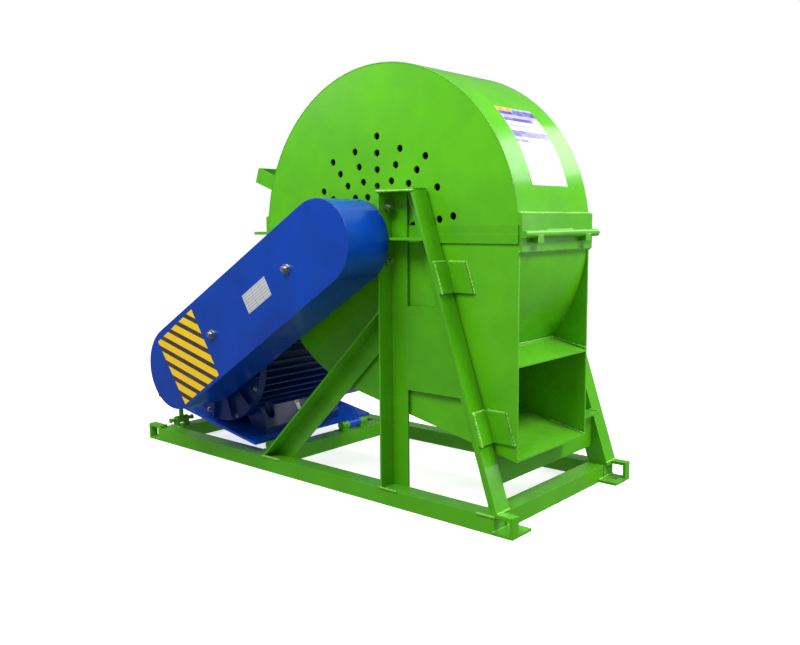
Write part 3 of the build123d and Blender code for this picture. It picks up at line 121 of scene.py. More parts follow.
# Alkyd enamel, sprayed on welded steel: a glossy skin with orange peel, slightly thinner and paler on edges,
# and a pale veil on what faces up that is partly dust and partly a painted sheen of light on the tops. Real orange
# peel is 1 to 2 mm across: it is drawn 5 mm so that it shows.
# peel and sheet are the size and height of the bumps in mm; round is the radius of a cut edge under its paint.
enamelLooks = {
    "greenEnamel": {"coat": "#54b012", "deep": "#4aa20e", "edge": "#7fcf44", "dustAndTopSheen": "#94bc74", "gloss": 0.24,
                    "peel": (5.0, 0.05), "sheet": (170.0, 0.9), "round": 1.2},
    "greenSheetEnamel": {"coat": "#5ab814", "deep": "#50aa10", "edge": "#7fcf44", "dustAndTopSheen": "#94bc74", "gloss": 0.22,
                         "peel": (5.0, 0.04), "sheet": (260.0, 1.6), "round": 1.0},
    # weld beads: paler and glossier than the frame green; the paler coat is a painted highlight on the bead ridges
    "weldPaintedHighlightEnamel": {"coat": "#84cd4c", "deep": "#5cb422", "edge": "#a4dc7a", "dustAndTopSheen": "#94bc74", "gloss": 0.12,
                   "peel": (3.0, 0.05), "sheet": (20.0, 0.2), "round": 0.6},
    # motor plate: a brighter copy of the guard blue; the extra brightness is painted light for the plate's lit,
    # reflecting top
    "bluePlatePaintedLightEnamel": {"coat": "#0052d8", "deep": "#0046bc", "edge": "#3f78d2", "dustAndTopSheen": "#4f6f9e", "gloss": 0.18,
                        "peel": (5.0, 0.035), "sheet": (200.0, 1.0), "round": 1.0},
    "blueEnamel": {"coat": "#003fa8", "deep": "#003694", "edge": "#2a62c4", "dustAndTopSheen": "#3f5f92", "gloss": 0.2,
                   "peel": (5.0, 0.035), "sheet": (240.0, 1.2), "round": 3.0},
    "greenCastEnamel": {"coat": "#56ad1a", "deep": "#459212", "edge": "#7cc445", "dustAndTopSheen": "#98b87c", "gloss": 0.34,
                        "peel": (4.0, 0.35), "sheet": (60.0, 0.5), "round": 2.0},
    "blueCastEnamel": {"coat": "#023487", "deep": "#012562", "edge": "#2a5cb0", "dustAndTopSheen": "#2f4a78", "gloss": 0.27,
                       "peel": (4.0, 0.3), "sheet": (60.0, 0.4), "round": 2.0},
}


def enamel(name, look):
    material, tree, shader, place = startMaterial(
        name, {"IOR": 1.5, "Specular IOR Level": 0.35, "Coat Weight": 0.2, "Coat Roughness": 0.08})
    patches = addNode(tree, "ShaderNodeTexNoise", {"Scale": 6.0, "Detail": 3.0, "Roughness": 0.6}, {"Vector": place})
    depth = addNode(tree, "ShaderNodeMapRange", {"From Min": 0.35, "From Max": 0.7},
                    {"Value": patches.outputs["Fac"]})
    coat = addNode(tree, "ShaderNodeMix", {"data_type": "RGBA", 6: linear(look["coat"]), 7: linear(look["deep"])},
                   {"Factor": depth.outputs["Result"]})
    # edges: where a rounded normal leaves the true one, the coat is thin
    rounded = addNode(tree, "ShaderNodeBevel", {"samples": 4, "Radius": 2.5 * mm})
    flat = addNode(tree, "ShaderNodeNewGeometry")
    facing = addNode(tree, "ShaderNodeVectorMath", {"operation": "DOT_PRODUCT"},
                     {0: rounded.outputs["Normal"], 1: flat.outputs["Normal"]})
    bend = addNode(tree, "ShaderNodeMapRange", {"From Min": 0.97, "From Max": 0.8},
                   {"Value": facing.outputs["Value"]})
    scuff = addNode(tree, "ShaderNodeTexNoise", {"Scale": 45.0, "Detail": 4.0}, {"Vector": place})
    rubbed = addNode(tree, "ShaderNodeMapRange", {"From Min": 0.42, "From Max": 0.6, "To Min": 0.1, "To Max": 0.75},
                     {"Value": scuff.outputs["Fac"]})
    thin = addNode(tree, "ShaderNodeMath", {"operation": "MULTIPLY"},
                   {0: bend.outputs["Result"], 1: rubbed.outputs["Result"]})
    coat = addNode(tree, "ShaderNodeMix", {"data_type": "RGBA", 7: linear(look["edge"])},
                   {"Factor": thin.outputs[0], 6: coat.outputs[2]})
    # dust and painted sheen: a thin pale veil on faces that look up, partly real dust and partly painted light on the
    # tops
    upward = addNode(tree, "ShaderNodeSeparateXYZ", {}, {0: flat.outputs["Normal"]})
    level = addNode(tree, "ShaderNodeMapRange", {"From Min": 0.6, "From Max": 1.0, "To Max": 0.16},
                    {"Value": upward.outputs["Z"]})
    dustAndSheenPatches = addNode(tree, "ShaderNodeMapRange", {"From Min": 0.3, "From Max": 0.75},
                      {"Value": scuff.outputs["Fac"]})
    veil = addNode(tree, "ShaderNodeMath", {"operation": "MULTIPLY"},
                   {0: level.outputs["Result"], 1: dustAndSheenPatches.outputs["Result"]})
    coat = addNode(tree, "ShaderNodeMix", {"data_type": "RGBA", 7: linear(look["dustAndTopSheen"])},
                   {"Factor": veil.outputs[0], 6: coat.outputs[2]})
    tree.links.new(coat.outputs[2], shader.inputs["Base Color"])
    span = {"From Min": 0.3, "From Max": 0.75, "To Min": look["gloss"], "To Max": look["gloss"] + 0.09}
    polish = addNode(tree, "ShaderNodeMapRange", span, {"Value": patches.outputs["Fac"]})
    tree.links.new(polish.outputs["Result"], shader.inputs["Roughness"])
    # the sheet's ripple and the orange peel lie over the rounded edge
    normal = addNode(tree, "ShaderNodeBevel", {"samples": 4, "Radius": look["round"] * mm}).outputs["Normal"]
    for size, height in (look["sheet"], look["peel"]):
        grain = addNode(tree, "ShaderNodeTexNoise", {"Scale": 1 / (size * mm), "Detail": 2.0}, {"Vector": place})
        bump = addNode(tree, "ShaderNodeBump", {"Strength": 1.0, "Distance": height * mm},
                       {"Height": grain.outputs["Fac"], "Normal": normal})
        normal = bump.outputs["Normal"]
    tree.links.new(normal, shader.inputs["Normal"])
    return material


finishes = {name: enamel(name, look) for name, look in enamelLooks.items()}

# Bare metals: turned shaft steel, hot-rolled plate with mill scale, zinc plating and worn hammer edges.
# stretch is how often the marks repeat in a metre along each axis; bump is their height in mm.
metalLooks = {
    "turnedSteel": {"light": "#a4a5a6", "dark": "#7d7e80", "rough": (0.26, 0.42), "stretch": (9, 700, 9),
                    "bump": 0.03},
    "rolledPlate": {"light": "#a3a09c", "dark": "#77746f", "rough": (0.38, 0.6), "stretch": (60, 60, 60),
                    "bump": 0.12},
    "zincPlating": {"light": "#d3d4cd", "dark": "#a9a99d", "rough": (0.24, 0.4), "stretch": (120, 120, 120),
                    "bump": 0.04},
    "wornEdgeSteel": {"light": "#8b8580", "dark": "#5a5048", "rough": (0.35, 0.6), "stretch": (40, 12, 40),
                      "bump": 0.15},
}


def bareMetal(name, look):
    material, tree, shader, place = startMaterial(name, {"Metallic": 1.0})
    stretched = addNode(tree, "ShaderNodeMapping", {"Scale": look["stretch"]}, {"Vector": place})
    marks = addNode(tree, "ShaderNodeTexNoise", {"Scale": 1.0, "Detail": 4.0, "Roughness": 0.65},
                    {"Vector": stretched.outputs[0]}).outputs["Fac"]
    tone = addNode(tree, "ShaderNodeMapRange", {"From Min": 0.35, "From Max": 0.65}, {"Value": marks})
    colour = addNode(tree, "ShaderNodeMix", {"data_type": "RGBA", 6: linear(look["dark"]), 7: linear(look["light"])},
                     {"Factor": tone.outputs["Result"]})
    rounded = addNode(tree, "ShaderNodeBevel", {"samples": 4, "Radius": 1.2 * mm})
    coverSurface(tree, shader, colour.outputs[2], marks, look["rough"],
                 (1.0, look["bump"], {"Height": marks, "Normal": rounded.outputs["Normal"]}))
    return material


finishes.update({name: bareMetal(name, look) for name, look in metalLooks.items()})

# Wrapped wedge belt: black rubber with a woven cotton jacket; the weave is 1 mm and is drawn 3 mm.
beltLook = {"thread": 3.0, "new": "#1b1b1c", "worn": "#33312f", "rough": (0.62, 0.85)}


def beltRubber(name, look):
    material, tree, shader, place = startMaterial(name, {"IOR": 1.52, "Sheen Weight": 0.25})
    weave = addNode(tree, "ShaderNodeTexVoronoi", {"Scale": 1 / (look["thread"] * mm)}, {"Vector": place})
    wear = addNode(tree, "ShaderNodeTexNoise", {"Scale": 30.0, "Detail": 3.0}, {"Vector": place}).outputs["Fac"]
    tone = addNode(tree, "ShaderNodeMapRange", {"From Min": 0.4, "From Max": 0.7}, {"Value": wear})
    colour = addNode(tree, "ShaderNodeMix", {"data_type": "RGBA", 6: linear(look["new"]), 7: linear(look["worn"])},
                     {"Factor": tone.outputs["Result"]})
    coverSurface(tree, shader, colour.outputs[2], wear, look["rough"],
                 (0.6, 0.2, {"Height": weave.outputs["Distance"]}))
    return material


# Moulded fan plastic: even charcoal with a fine spark-eroded grain.
plasticLook = {"grain": 2.5, "dark": "#17181a", "pale": "#2b2c2e", "rough": (0.42, 0.56)}


def mouldedPlastic(name, look):
    material, tree, shader, place = startMaterial(name, {"IOR": 1.49})
    grain = addNode(tree, "ShaderNodeTexNoise", {"Scale": 1 / (look["grain"] * mm), "Detail": 2.0},
                    {"Vector": place}).outputs["Fac"]
    colour = addNode(tree, "ShaderNodeMix", {"data_type": "RGBA", 6: linear(look["dark"]), 7: linear(look["pale"])},
                     {"Factor": grain})
    coverSurface(tree, shader, colour.outputs[2], grain, look["rough"], (0.5, 0.1, {"Height": grain}))
    return material


# Printed vinyl film: flat ink under a satin laminate, with the sheet's ripples showing through.
def vinylFilm(name, ink):
    material, tree, shader, place = startMaterial(name, {"IOR": 1.46, "Coat Weight": 0.5, "Coat Roughness": 0.12})
    ripple = addNode(tree, "ShaderNodeTexNoise", {"Scale": 14.0, "Detail": 2.0}, {"Vector": place}).outputs["Fac"]
    pale = addNode(tree, "ShaderNodeTexNoise", {"Scale": 60.0, "Detail": 2.0}, {"Vector": place})
    fade = addNode(tree, "ShaderNodeMapRange", {"From Min": 0.4, "From Max": 1.8}, {"Value": pale.outputs["Fac"]})
    colour = addNode(tree, "ShaderNodeMix", {"data_type": "RGBA", 6: linear(ink), 7: linear("#f4f2f4")},
                     {"Factor": fade.outputs["Result"]})
    coverSurface(tree, shader, colour.outputs[2], ripple, (0.3, 0.42), (0.5, 0.8, {"Height": ripple}))
    return material


# Hazard tape: diagonal yellow and brown-black ink; the stripes lie at 45 degrees to the guard's length.
hazardInk = {"pitch": 38.6, "yellowShare": 0.6, "slope": -13.7, "shift": 0.37,
             "yellow": "#f2c80c", "dark": "#3a3334", "soil": "#9b8b4a"}


def hazardTape(name, s):
    material, tree, shader, place = startMaterial(name, {"IOR": 1.46, "Coat Weight": 0.4, "Coat Roughness": 0.1})
    tilt = radians(s["slope"])
    across = addNode(tree, "ShaderNodeVectorMath", {"operation": "DOT_PRODUCT", 1: (-sin(tilt), 0, cos(tilt))},
                     {0: place})
    count = addNode(tree, "ShaderNodeMath", {"operation": "MULTIPLY_ADD", 1: 1 / (s["pitch"] * mm), 2: s["shift"]},
                    {0: across.outputs["Value"]})
    part = addNode(tree, "ShaderNodeMath", {"operation": "FRACT"}, {0: count.outputs[0]})
    dark = addNode(tree, "ShaderNodeMath", {"operation": "GREATER_THAN", 1: s["yellowShare"]}, {0: part.outputs[0]})
    ink = addNode(tree, "ShaderNodeMix", {"data_type": "RGBA", 6: linear(s["yellow"]), 7: linear(s["dark"])},
                  {"Factor": dark.outputs[0]})
    soil = addNode(tree, "ShaderNodeTexNoise", {"Scale": 25.0, "Detail": 4.0}, {"Vector": place}).outputs["Fac"]
    share = addNode(tree, "ShaderNodeMapRange", {"From Min": 0.5, "From Max": 0.9, "To Max": 0.25}, {"Value": soil})
    ink = addNode(tree, "ShaderNodeMix", {"data_type": "RGBA", 7: linear(s["soil"])},
                  {"Factor": share.outputs["Result"], 6: ink.outputs[2]})
    coverSurface(tree, shader, ink.outputs[2], soil, (0.28, 0.42), (0.5, 0.3, {"Height": soil}))
    return material


# Etched aluminium rating plate: brushed lengthways, with ruled blank fields and no wording.
plateRuling = {"slope": 31.27, "line": 9.0, "share": 0.16, "column": 38.0,
               "dark": "#c9cdd2", "light": "#e9ebee", "rule": "#8694ae"}


def etchedPlate(name, s):
    material, tree, shader, place = startMaterial(name, {"Metallic": 0.35, "Coat Weight": 0.2})
    tilt = radians(s["slope"])
    ways = [addNode(tree, "ShaderNodeVectorMath", {"operation": "DOT_PRODUCT", 1: way}, {0: place})
            for way in ((cos(tilt), 0, sin(tilt)), (-sin(tilt), 0, cos(tilt)))]
    along, up = [way.outputs["Value"] for way in ways]
    rules = []
    for value, pitch, share in ((up, s["line"], s["share"]), (along, s["column"], s["share"] / 5)):
        count = addNode(tree, "ShaderNodeMath", {"operation": "DIVIDE", 1: pitch * mm}, {0: value})
        part = addNode(tree, "ShaderNodeMath", {"operation": "FRACT"}, {0: count.outputs[0]})
        rules.append(addNode(tree, "ShaderNodeMath", {"operation": "LESS_THAN", 1: share}, {0: part.outputs[0]}))
    ruled = addNode(tree, "ShaderNodeMath", {"operation": "MAXIMUM"},
                    {0: rules[0].outputs[0], 1: rules[1].outputs[0]})
    brushing = addNode(tree, "ShaderNodeTexNoise", {"Scale": 300.0, "Detail": 2.0}, {"Vector": up}).outputs["Fac"]
    bare = addNode(tree, "ShaderNodeMix", {"data_type": "RGBA", 6: linear(s["dark"]), 7: linear(s["light"])},
                   {"Factor": brushing})
    colour = addNode(tree, "ShaderNodeMix", {"data_type": "RGBA", 7: linear(s["rule"])},
                     {"Factor": ruled.outputs[0], 6: bare.outputs[2]})
    coverSurface(tree, shader, colour.outputs[2], brushing, (0.3, 0.45))
    return material


finishes["wrappedBeltRubber"] = beltRubber("wrappedBeltRubber", beltLook)
finishes["fanPolyamide"] = mouldedPlastic("fanPolyamide", plasticLook)
finishes["hazardFilm"] = hazardTape("hazardFilm", hazardInk)
finishes["etchedAluminium"] = etchedPlate("etchedAluminium", plateRuling)
inks = {"whiteFilm": "#f0f1f4", "violetInk": "#4e46a6", "lilacInk": "#aaa6d8", "orangeInk": "#efa044",
        "redInk": "#b8342c"}
finishes.update({name: vinylFilm(name, colour) for name, colour in inks.items()})
print("finishes made:", len(finishes))

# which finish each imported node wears
wears = {
    "greenSheetEnamel": "drive_side_wall far_side_wall casing_floor_sheet chamber_arc_plate outlet_divider "
                        "feed_chute cover_drive_wall cover_far_wall cover_wrapper",
    "blueEnamel": "belt_guard fan_cowl terminal_box",
    # the motor plate wears the brighter blue, whose extra brightness is painted light
    "bluePlatePaintedLightEnamel": "motor_plate",
    "blueCastEnamel": "motor_frame motor_end_shields",
    "greenCastEnamel": "bearing_housings driven_pulley drive_pulley",
    "turnedSteel": "main_shaft bearing_inner_rings motor_shaft hammer_pins",
    "rolledPlate": "rotor_discs rotor_spacers screen screen_rails motor_stator",
    "wornEdgeSteel": "hammer_row_1 hammer_row_2 hammer_row_3 hammer_row_4",
    "zincPlating": "bearing_bolts guard_bolts motor_bolts",
    "wrappedBeltRubber": "v_belts",
    "fanPolyamide": "motor_fan",
    "etchedAluminium": "nameplate",
}
finishOf = {node: finish for finish, names in wears.items() for node in names.split()}
for name, node in nodes.items():
    node.data.materials.clear()
    node.data.materials.append(finishes[finishOf.get(name, "greenEnamel")])
print("packed nodes painted")


# geometry trees for what repeats
def startTree(name, inputs):
    tree = bpy.data.node_groups.new(name, "GeometryNodeTree")
    tree.interface.new_socket("Geometry", in_out="INPUT", socket_type="NodeSocketGeometry")
    tree.interface.new_socket("Geometry", in_out="OUTPUT", socket_type="NodeSocketGeometry")
    for label, (kind, value) in inputs.items():
        socket = tree.interface.new_socket(label, in_out="INPUT", socket_type="NodeSocket" + kind)
        if value is not None:
            socket.default_value = value
    return tree, addNode(tree, "NodeGroupInput").outputs


def endTree(tree, geometry, material):
    whole = addNode(tree, "GeometryNodeRealizeInstances", {}, {"Geometry": geometry})
    painted = addNode(tree, "GeometryNodeSetMaterial", {}, {"Geometry": whole.outputs[0], "Material": material})
    addNode(tree, "NodeGroupOutput", {}, {"Geometry": painted.outputs[0]})
    return tree


def weldTree():
    # overlapping ripples along each path, each one a little different
    tree, given = startTree("weldRipples", {
        "Width": ("Float", 0.007), "Pitch": ("Float", 0.0035), "Unevenness": ("Float", 0.22),
        "Seed": ("Int", 3), "Material": ("Material", None)})
    dots = addNode(tree, "GeometryNodeResampleCurve", {"mode": "LENGTH"},
                   {"Curve": given["Geometry"], "Length": given["Pitch"]})
    ripple = addNode(tree, "GeometryNodeMeshUVSphere", {"Segments": 8, "Rings": 5, "Radius": 0.5})
    tangent = addNode(tree, "GeometryNodeInputTangent")
    turn = addNode(tree, "FunctionNodeAlignRotationToVector", {"axis": "Z"}, {"Vector": tangent.outputs[0]})
    low = addNode(tree, "ShaderNodeMath", {"operation": "SUBTRACT", 0: 1.0}, {1: given["Unevenness"]})
    high = addNode(tree, "ShaderNodeMath", {"operation": "ADD", 0: 1.0}, {1: given["Unevenness"]})
    size = addNode(tree, "FunctionNodeRandomValue", {"data_type": "FLOAT"},
                   {2: low.outputs[0], 3: high.outputs[0], "Seed": given["Seed"]})
    width = addNode(tree, "ShaderNodeMath", {"operation": "MULTIPLY"}, {0: size.outputs[1], 1: given["Width"]})
    # each ripple is nearly two pitches long, so that it laps the next
    length = addNode(tree, "ShaderNodeMath", {"operation": "MULTIPLY", 1: 1.9}, {0: given["Pitch"]})
    scale = addNode(tree, "ShaderNodeCombineXYZ", {},
                    {"X": width.outputs[0], "Y": width.outputs[0], "Z": length.outputs[0]})
    placed = addNode(tree, "GeometryNodeInstanceOnPoints", {}, {
        "Points": dots.outputs[0], "Instance": ripple.outputs["Mesh"], "Rotation": turn.outputs[0],
        "Scale": scale.outputs[0]})
    smooth = addNode(tree, "GeometryNodeSetShadeSmooth", {}, {"Geometry": placed.outputs[0]})
    return endTree(tree, smooth.outputs[0], given["Material"])


def threadTree():
    # a ring for each turn of the thread along a straight path
    tree, given = startTree("screwThread", {
        "Radius": ("Float", 0.009), "Pitch": ("Float", 0.0025), "Depth": ("Float", 0.0012),
        "Material": ("Material", None)})
    turns = addNode(tree, "GeometryNodeResampleCurve", {"mode": "LENGTH"},
                    {"Curve": given["Geometry"], "Length": given["Pitch"]})
    loop = addNode(tree, "GeometryNodeCurvePrimitiveCircle", {"Resolution": 20}, {"Radius": given["Radius"]})
    ridge = addNode(tree, "GeometryNodeCurvePrimitiveCircle", {"Resolution": 4}, {"Radius": given["Depth"]})
    ring = addNode(tree, "GeometryNodeCurveToMesh", {}, {"Curve": loop.outputs[0], "Profile Curve": ridge.outputs[0]})
    tangent = addNode(tree, "GeometryNodeInputTangent")
    turn = addNode(tree, "FunctionNodeAlignRotationToVector", {"axis": "Z"}, {"Vector": tangent.outputs[0]})
    placed = addNode(tree, "GeometryNodeInstanceOnPoints", {}, {
        "Points": turns.outputs[0], "Instance": ring.outputs[0], "Rotation": turn.outputs[0]})
    return endTree(tree, placed.outputs[0], given["Material"])


def screwTree():
    # a hexagon head on a washer at each point, its chamfer cut as a short cone
    tree, given = startTree("hexScrews", {
        "Axis": ("Vector", (0, -1, 0)), "Radius": ("Float", 0.007), "Height": ("Float", 0.005),
        "Washer": ("Float", 0.009), "Material": ("Material", None)})
    halfHeight = addNode(tree, "ShaderNodeMath", {"operation": "MULTIPLY", 1: 0.5}, {0: given["Height"]})
    rim = addNode(tree, "ShaderNodeMath", {"operation": "MULTIPLY", 1: 0.8}, {0: given["Radius"]})
    chamfer = addNode(tree, "ShaderNodeMath", {"operation": "MULTIPLY", 1: 0.22}, {0: given["Height"]})
    lift = addNode(tree, "ShaderNodeCombineXYZ", {}, {"Z": halfHeight.outputs[0]})
    top = addNode(tree, "ShaderNodeCombineXYZ", {}, {"Z": given["Height"]})
    head = addNode(tree, "GeometryNodeMeshCylinder", {"Vertices": 6},
                   {"Radius": given["Radius"], "Depth": given["Height"]})
    raised = addNode(tree, "GeometryNodeTransform", {},
                     {"Geometry": head.outputs["Mesh"], "Translation": lift.outputs[0]})
    cone = addNode(tree, "GeometryNodeMeshCone", {"Vertices": 6}, {
        "Radius Top": rim.outputs[0], "Radius Bottom": given["Radius"], "Depth": chamfer.outputs[0]})
    capped = addNode(tree, "GeometryNodeTransform", {},
                     {"Geometry": cone.outputs["Mesh"], "Translation": top.outputs[0]})
    washer = addNode(tree, "GeometryNodeMeshCylinder", {"Vertices": 20},
                     {"Radius": given["Washer"], "Depth": chamfer.outputs[0]})
    screw = addNode(tree, "GeometryNodeJoinGeometry")
    for part in (raised, capped, washer):
        tree.links.new(part.outputs[0], screw.inputs[0])
    turn = addNode(tree, "FunctionNodeAlignRotationToVector", {"axis": "Z"}, {"Vector": given["Axis"]})
    placed = addNode(tree, "GeometryNodeInstanceOnPoints", {}, {
        "Points": given["Geometry"], "Instance": screw.outputs[0], "Rotation": turn.outputs[0]})
    return endTree(tree, placed.outputs[0], given["Material"])


trees = {"weld": weldTree(), "thread": threadTree(), "screw": screwTree()}


def grow(name, source, treeName, values, body):
    # the tree's result becomes a plain mesh before it rides
    holder = bpy.data.objects.new(name + "Source", source)
    scene.collection.objects.link(holder)
    modifier = holder.modifiers.new("build", "NODES")
    modifier.node_group = trees[treeName]
    for item in trees[treeName].interface.items_tree:
        if item.item_type == "SOCKET" and item.in_out == "INPUT" and item.name in values:
            modifier[item.identifier] = values[item.name]
    depsgraph = bpy.context.evaluated_depsgraph_get()
    mesh = bpy.data.meshes.new_from_object(holder.evaluated_get(depsgraph))
    holder.modifiers.clear()
    bpy.data.objects.remove(holder)
    if not mesh.materials:
        mesh.materials.append(values["Material"])
    piece = bpy.data.objects.new(name, mesh)
    scene.collection.objects.link(piece)
    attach(piece, body)


def pathCurve(name, paths):
    curve = bpy.data.curves.new(name, "CURVE")
    curve.dimensions = "3D"
    for path in paths:
        spline = curve.splines.new("POLY")
        spline.points.add(len(path) - 1)
        for point, place in zip(spline.points, path):
            point.co = (*[v * mm for v in place], 1)
    return curve


def pointMesh(name, places):
    mesh = bpy.data.meshes.new(name)
    mesh.from_pydata([[v * mm for v in place] for place in places], [], [])
    return mesh


def arcPath(centre, radius, start, end, y, steps=24):
    turns = [radians(start + (end - start) * k / steps) for k in range(steps + 1)]
    return [(centre[0] + radius * cos(a), y, centre[1] + radius * sin(a)) for a in turns]


def boxOf(node):
    low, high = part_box(node)
    return [v / mm for v in low], [v / mm for v in high]


# weld beads, painted over with the frame; all but the wrapper seams wear a paler green that is a painted highlight on
# the ridges; from here to the labels, sizes and places are in mm
weldSettings = {"width": 8.0, "pitch": 3.6, "unevenness": 0.24, "seam": 4.5, "guardArm": 6.0}
shaft = (316.0, 807.0)
casingRadius = 500.0
nearPostLow, nearPostHigh = boxOf("near_upright")
farPostLow, farPostHigh = boxOf("far_upright")
railTop, sideY = boxOf("side_rails")[1][2], boxOf("side_rails")[1][1]
bandLow, bandHigh = boxOf("cover_end_bands")
lowBandLow, lowBandHigh = boxOf("lower_end_bands")
rodLow, rodHigh = boxOf("cover_hinge_rod")
dividerLow, dividerHigh = boxOf("outlet_divider")
braceLine = {"foot": boxOf("near_outlet_brace")[1][0], "lean": 0.3305}


def braceFace(z):
    return braceLine["foot"] - (z - railTop) * braceLine["lean"]


# depths are measured inwards from the outer face of a side rail; tab runs are measured from the brace's face
frameRuns = {
    "railDepth": 60, "legDepth": 62, "braceWidth": 66, "braceRise": 10,
    "crossRails": ((731, 789), (-731, -789), (-223, -165)), "slantFoot": (-164, -77),
    "footEnd": 790, "footTop": 9, "footDepth": 93, "strapDepth": 61, "strapTop": 46,
    "tabs": (687.0, 280.0), "tabHalf": 42.5, "tabOuter": 10, "tabInner": 70, "tabLeg": (12, 66), "tabArm": 5,
    "wallY": -277, "legY": -280, "armY": (-343, -290),
    "ductBar": {"z": 228, "face": 227, "wall": (-40, 20, 106), "brace": (-8, 18, 284)},
    "dividerDrop": 24, "ductRun": 118, "ductRise": (32, 8), "bandInset": 8,
    "saddleZ": 783, "saddles": ((-250, -200), (28, 58)),
    "chuteSkirt": 22, "chuteTop": 758, "chuteWall": 4,
}


def frameWelds(s):
    paths = []
    for side, low, high in ((-1, nearPostLow, nearPostHigh), (1, farPostLow, farPostHigh)):
        y, inner = side * sideY, side * (sideY - s["legDepth"])
        footY, strapY, railY = [side * (sideY - s[key]) for key in ("footDepth", "strapDepth", "railDepth")]
        end, strapX, rise = s["footEnd"], s["footEnd"] + 1, railTop + s["braceRise"]
        risen = braceFace(rise) + 1
        paths += [
            [(low[0], y, railTop), (high[0], y, railTop)],
            [(low[0] - 2, y, railTop), (low[0] - 2, inner, railTop)],
            [(braceFace(railTop) - s["braceWidth"], y, railTop + 1), (end, y, railTop + 1)],
            [(risen, y - side * 4, rise), (risen, inner, rise)],
            [(low[0], y, high[2] + 1), (braceFace(high[2]), y, high[2] + 1)],
            [(end, y, s["footTop"]), (end, footY, s["footTop"])],
            [(-end, y, s["footTop"]), (-end, footY, s["footTop"])],
            [(strapX, strapY, s["footTop"]), (strapX, strapY, s["strapTop"])],
        ]
        paths += [[(first, railY, railTop), (last, railY, railTop)] for first, last in s["crossRails"]]
    paths.append([(x, -sideY, railTop + 1) for x in s["slantFoot"]])
    # the tabs between the near brace and the casing
    for middle in s["tabs"]:
        top, foot = middle + s["tabHalf"], middle - s["tabHalf"]
        paths += [
            [(braceFace(z) + s["tabOuter"], -sideY + 2, z) for z in (top, foot)],
            [(braceFace(z) + s["tabInner"], s["wallY"], z) for z in (top, foot)],
            [(braceFace(top) + x, s["legY"], top + 1) for x in s["tabLeg"]],
            [(braceFace(top) + s["tabArm"], y, top + 1) for y in s["armY"]],
        ]
    bar = s["ductBar"]
    for first, last, y in (bar["wall"], bar["brace"]):
        paths.append([(braceFace(bar["face"]) + x, y, bar["z"]) for x in (first, last)])
    # the divider and the floor inside the outlet
    outlet, floorZ = dividerHigh[0], boxOf("casing_floor_sheet")[0][2]
    for y in (dividerLow[1] + 1, dividerHigh[1] - 1):
        paths += [
            [(dividerLow[0] + 4, y, dividerHigh[2]), (outlet - 2, y, dividerHigh[2] - s["dividerDrop"])],
            [(outlet - s["ductRun"], y, floorZ + s["ductRise"][0]), (outlet - 2, y, floorZ + s["ductRise"][1])],
        ]
    paths.append([(dividerLow[0] + 6, y, dividerHigh[2]) for y in (dividerLow[1], dividerHigh[1])])
    paths.append([(lowBandHigh[0] - s["bandInset"], y, lowBandLow[2] - 1) for y in (lowBandLow[1], lowBandHigh[1])])
    paths += [[(rodLow[0] - 1, y, s["saddleZ"]) for y in ends] for ends in s["saddles"]]
    # round the chute where it meets the far wall
    chuteLow, chuteHigh = boxOf("feed_chute")
    left, right, foot = chuteLow[0] + s["chuteSkirt"], chuteHigh[0] - s["chuteSkirt"], chuteLow[2] + s["chuteSkirt"]
    corners = [(left, foot), (right, foot), (right, s["chuteTop"]), (left, s["chuteTop"]), (left, foot)]
    paths.append([(x, chuteLow[1] + s["chuteWall"], z) for x, z in corners])
    return paths


coverRuns = {"bandInset": 7, "bandDepth": 72, "rodPlate": (-153, -16),
             "handleTurn": 160.3, "handleWidth": 50.0, "handleInset": 6}


def coverWelds(s):
    turn = radians(s["handleTurn"])
    out, along = Vector((cos(turn), 0, sin(turn))), Vector((-sin(turn), 0, cos(turn)))
    centre = Vector((shaft[0], 0, shaft[1])) + out * (casingRadius + 1)
    acrossBand = (bandLow[1] + 3, bandHigh[1] - 3)
    paths = [
        [(bandHigh[0] - s["bandInset"], y, bandHigh[2] + 1) for y in acrossBand],
        [(rodLow[0] + 2, y, rodHigh[2] - 1) for y in s["rodPlate"]],
        [(bandLow[0] + s["bandDepth"], y, bandHigh[2]) for y in acrossBand],
    ]
    for y in (bandLow[1] + s["handleInset"], bandHigh[1] - s["handleInset"]):
        ends = [centre + along * (side * s["handleWidth"] / 2) for side in (-1, 1)]
        paths.append([(end.x, y, end.z) for end in ends])
    return paths


# the guard's frame: along runs down its length from the shaft, across is square to that
guardAxis = {"top": (301.0, 785.0), "slope": 31.27, "front": -518.0, "bolts": (148.0, 576.0)}
guardArms = {"along": (130.0, 420.0), "across": -80.0, "radius": 13, "ends": (-278, -347)}


def downGuard(along, across=0.0):
    a = radians(guardAxis["slope"])
    x = guardAxis["top"][0] - along * cos(a) - across * sin(a)
    z = guardAxis["top"][1] - along * sin(a) + across * cos(a)
    return x, z


def guardArmWelds(s):
    return [arcPath(downGuard(along, s["across"]), s["radius"], 0, 360, y) for along in s["along"] for y in s["ends"]]


# beads wear the paler weld finish unless told otherwise: its pale coat is a painted highlight
def layWelds(name, paths, body, material="weldPaintedHighlightEnamel", width=weldSettings["width"]):
    s = weldSettings
    values = {"Width": width * mm, "Pitch": s["pitch"] * mm, "Unevenness": s["unevenness"],
              "Seed": len(paths), "Material": finishes[material]}
    grow(name, pathCurve(name, paths), "weld", values, body)


# the wrapper is seam welded to both cover walls
seams = [arcPath(shaft, casingRadius - 2, 4, 176, y, 90) for y in (bandLow[1] + 1, bandHigh[1] - 1)]
layWelds("coverSeamBeads", seams, "cover", "greenEnamel", width=weldSettings["seam"])
layWelds("frameWeldBeads", frameWelds(frameRuns), "frame")
layWelds("coverWeldBeads", coverWelds(coverRuns), "cover")
layWelds("guardArmWeldBeads", guardArmWelds(guardArms), "frame", width=weldSettings["guardArm"])
print("weld beads laid")

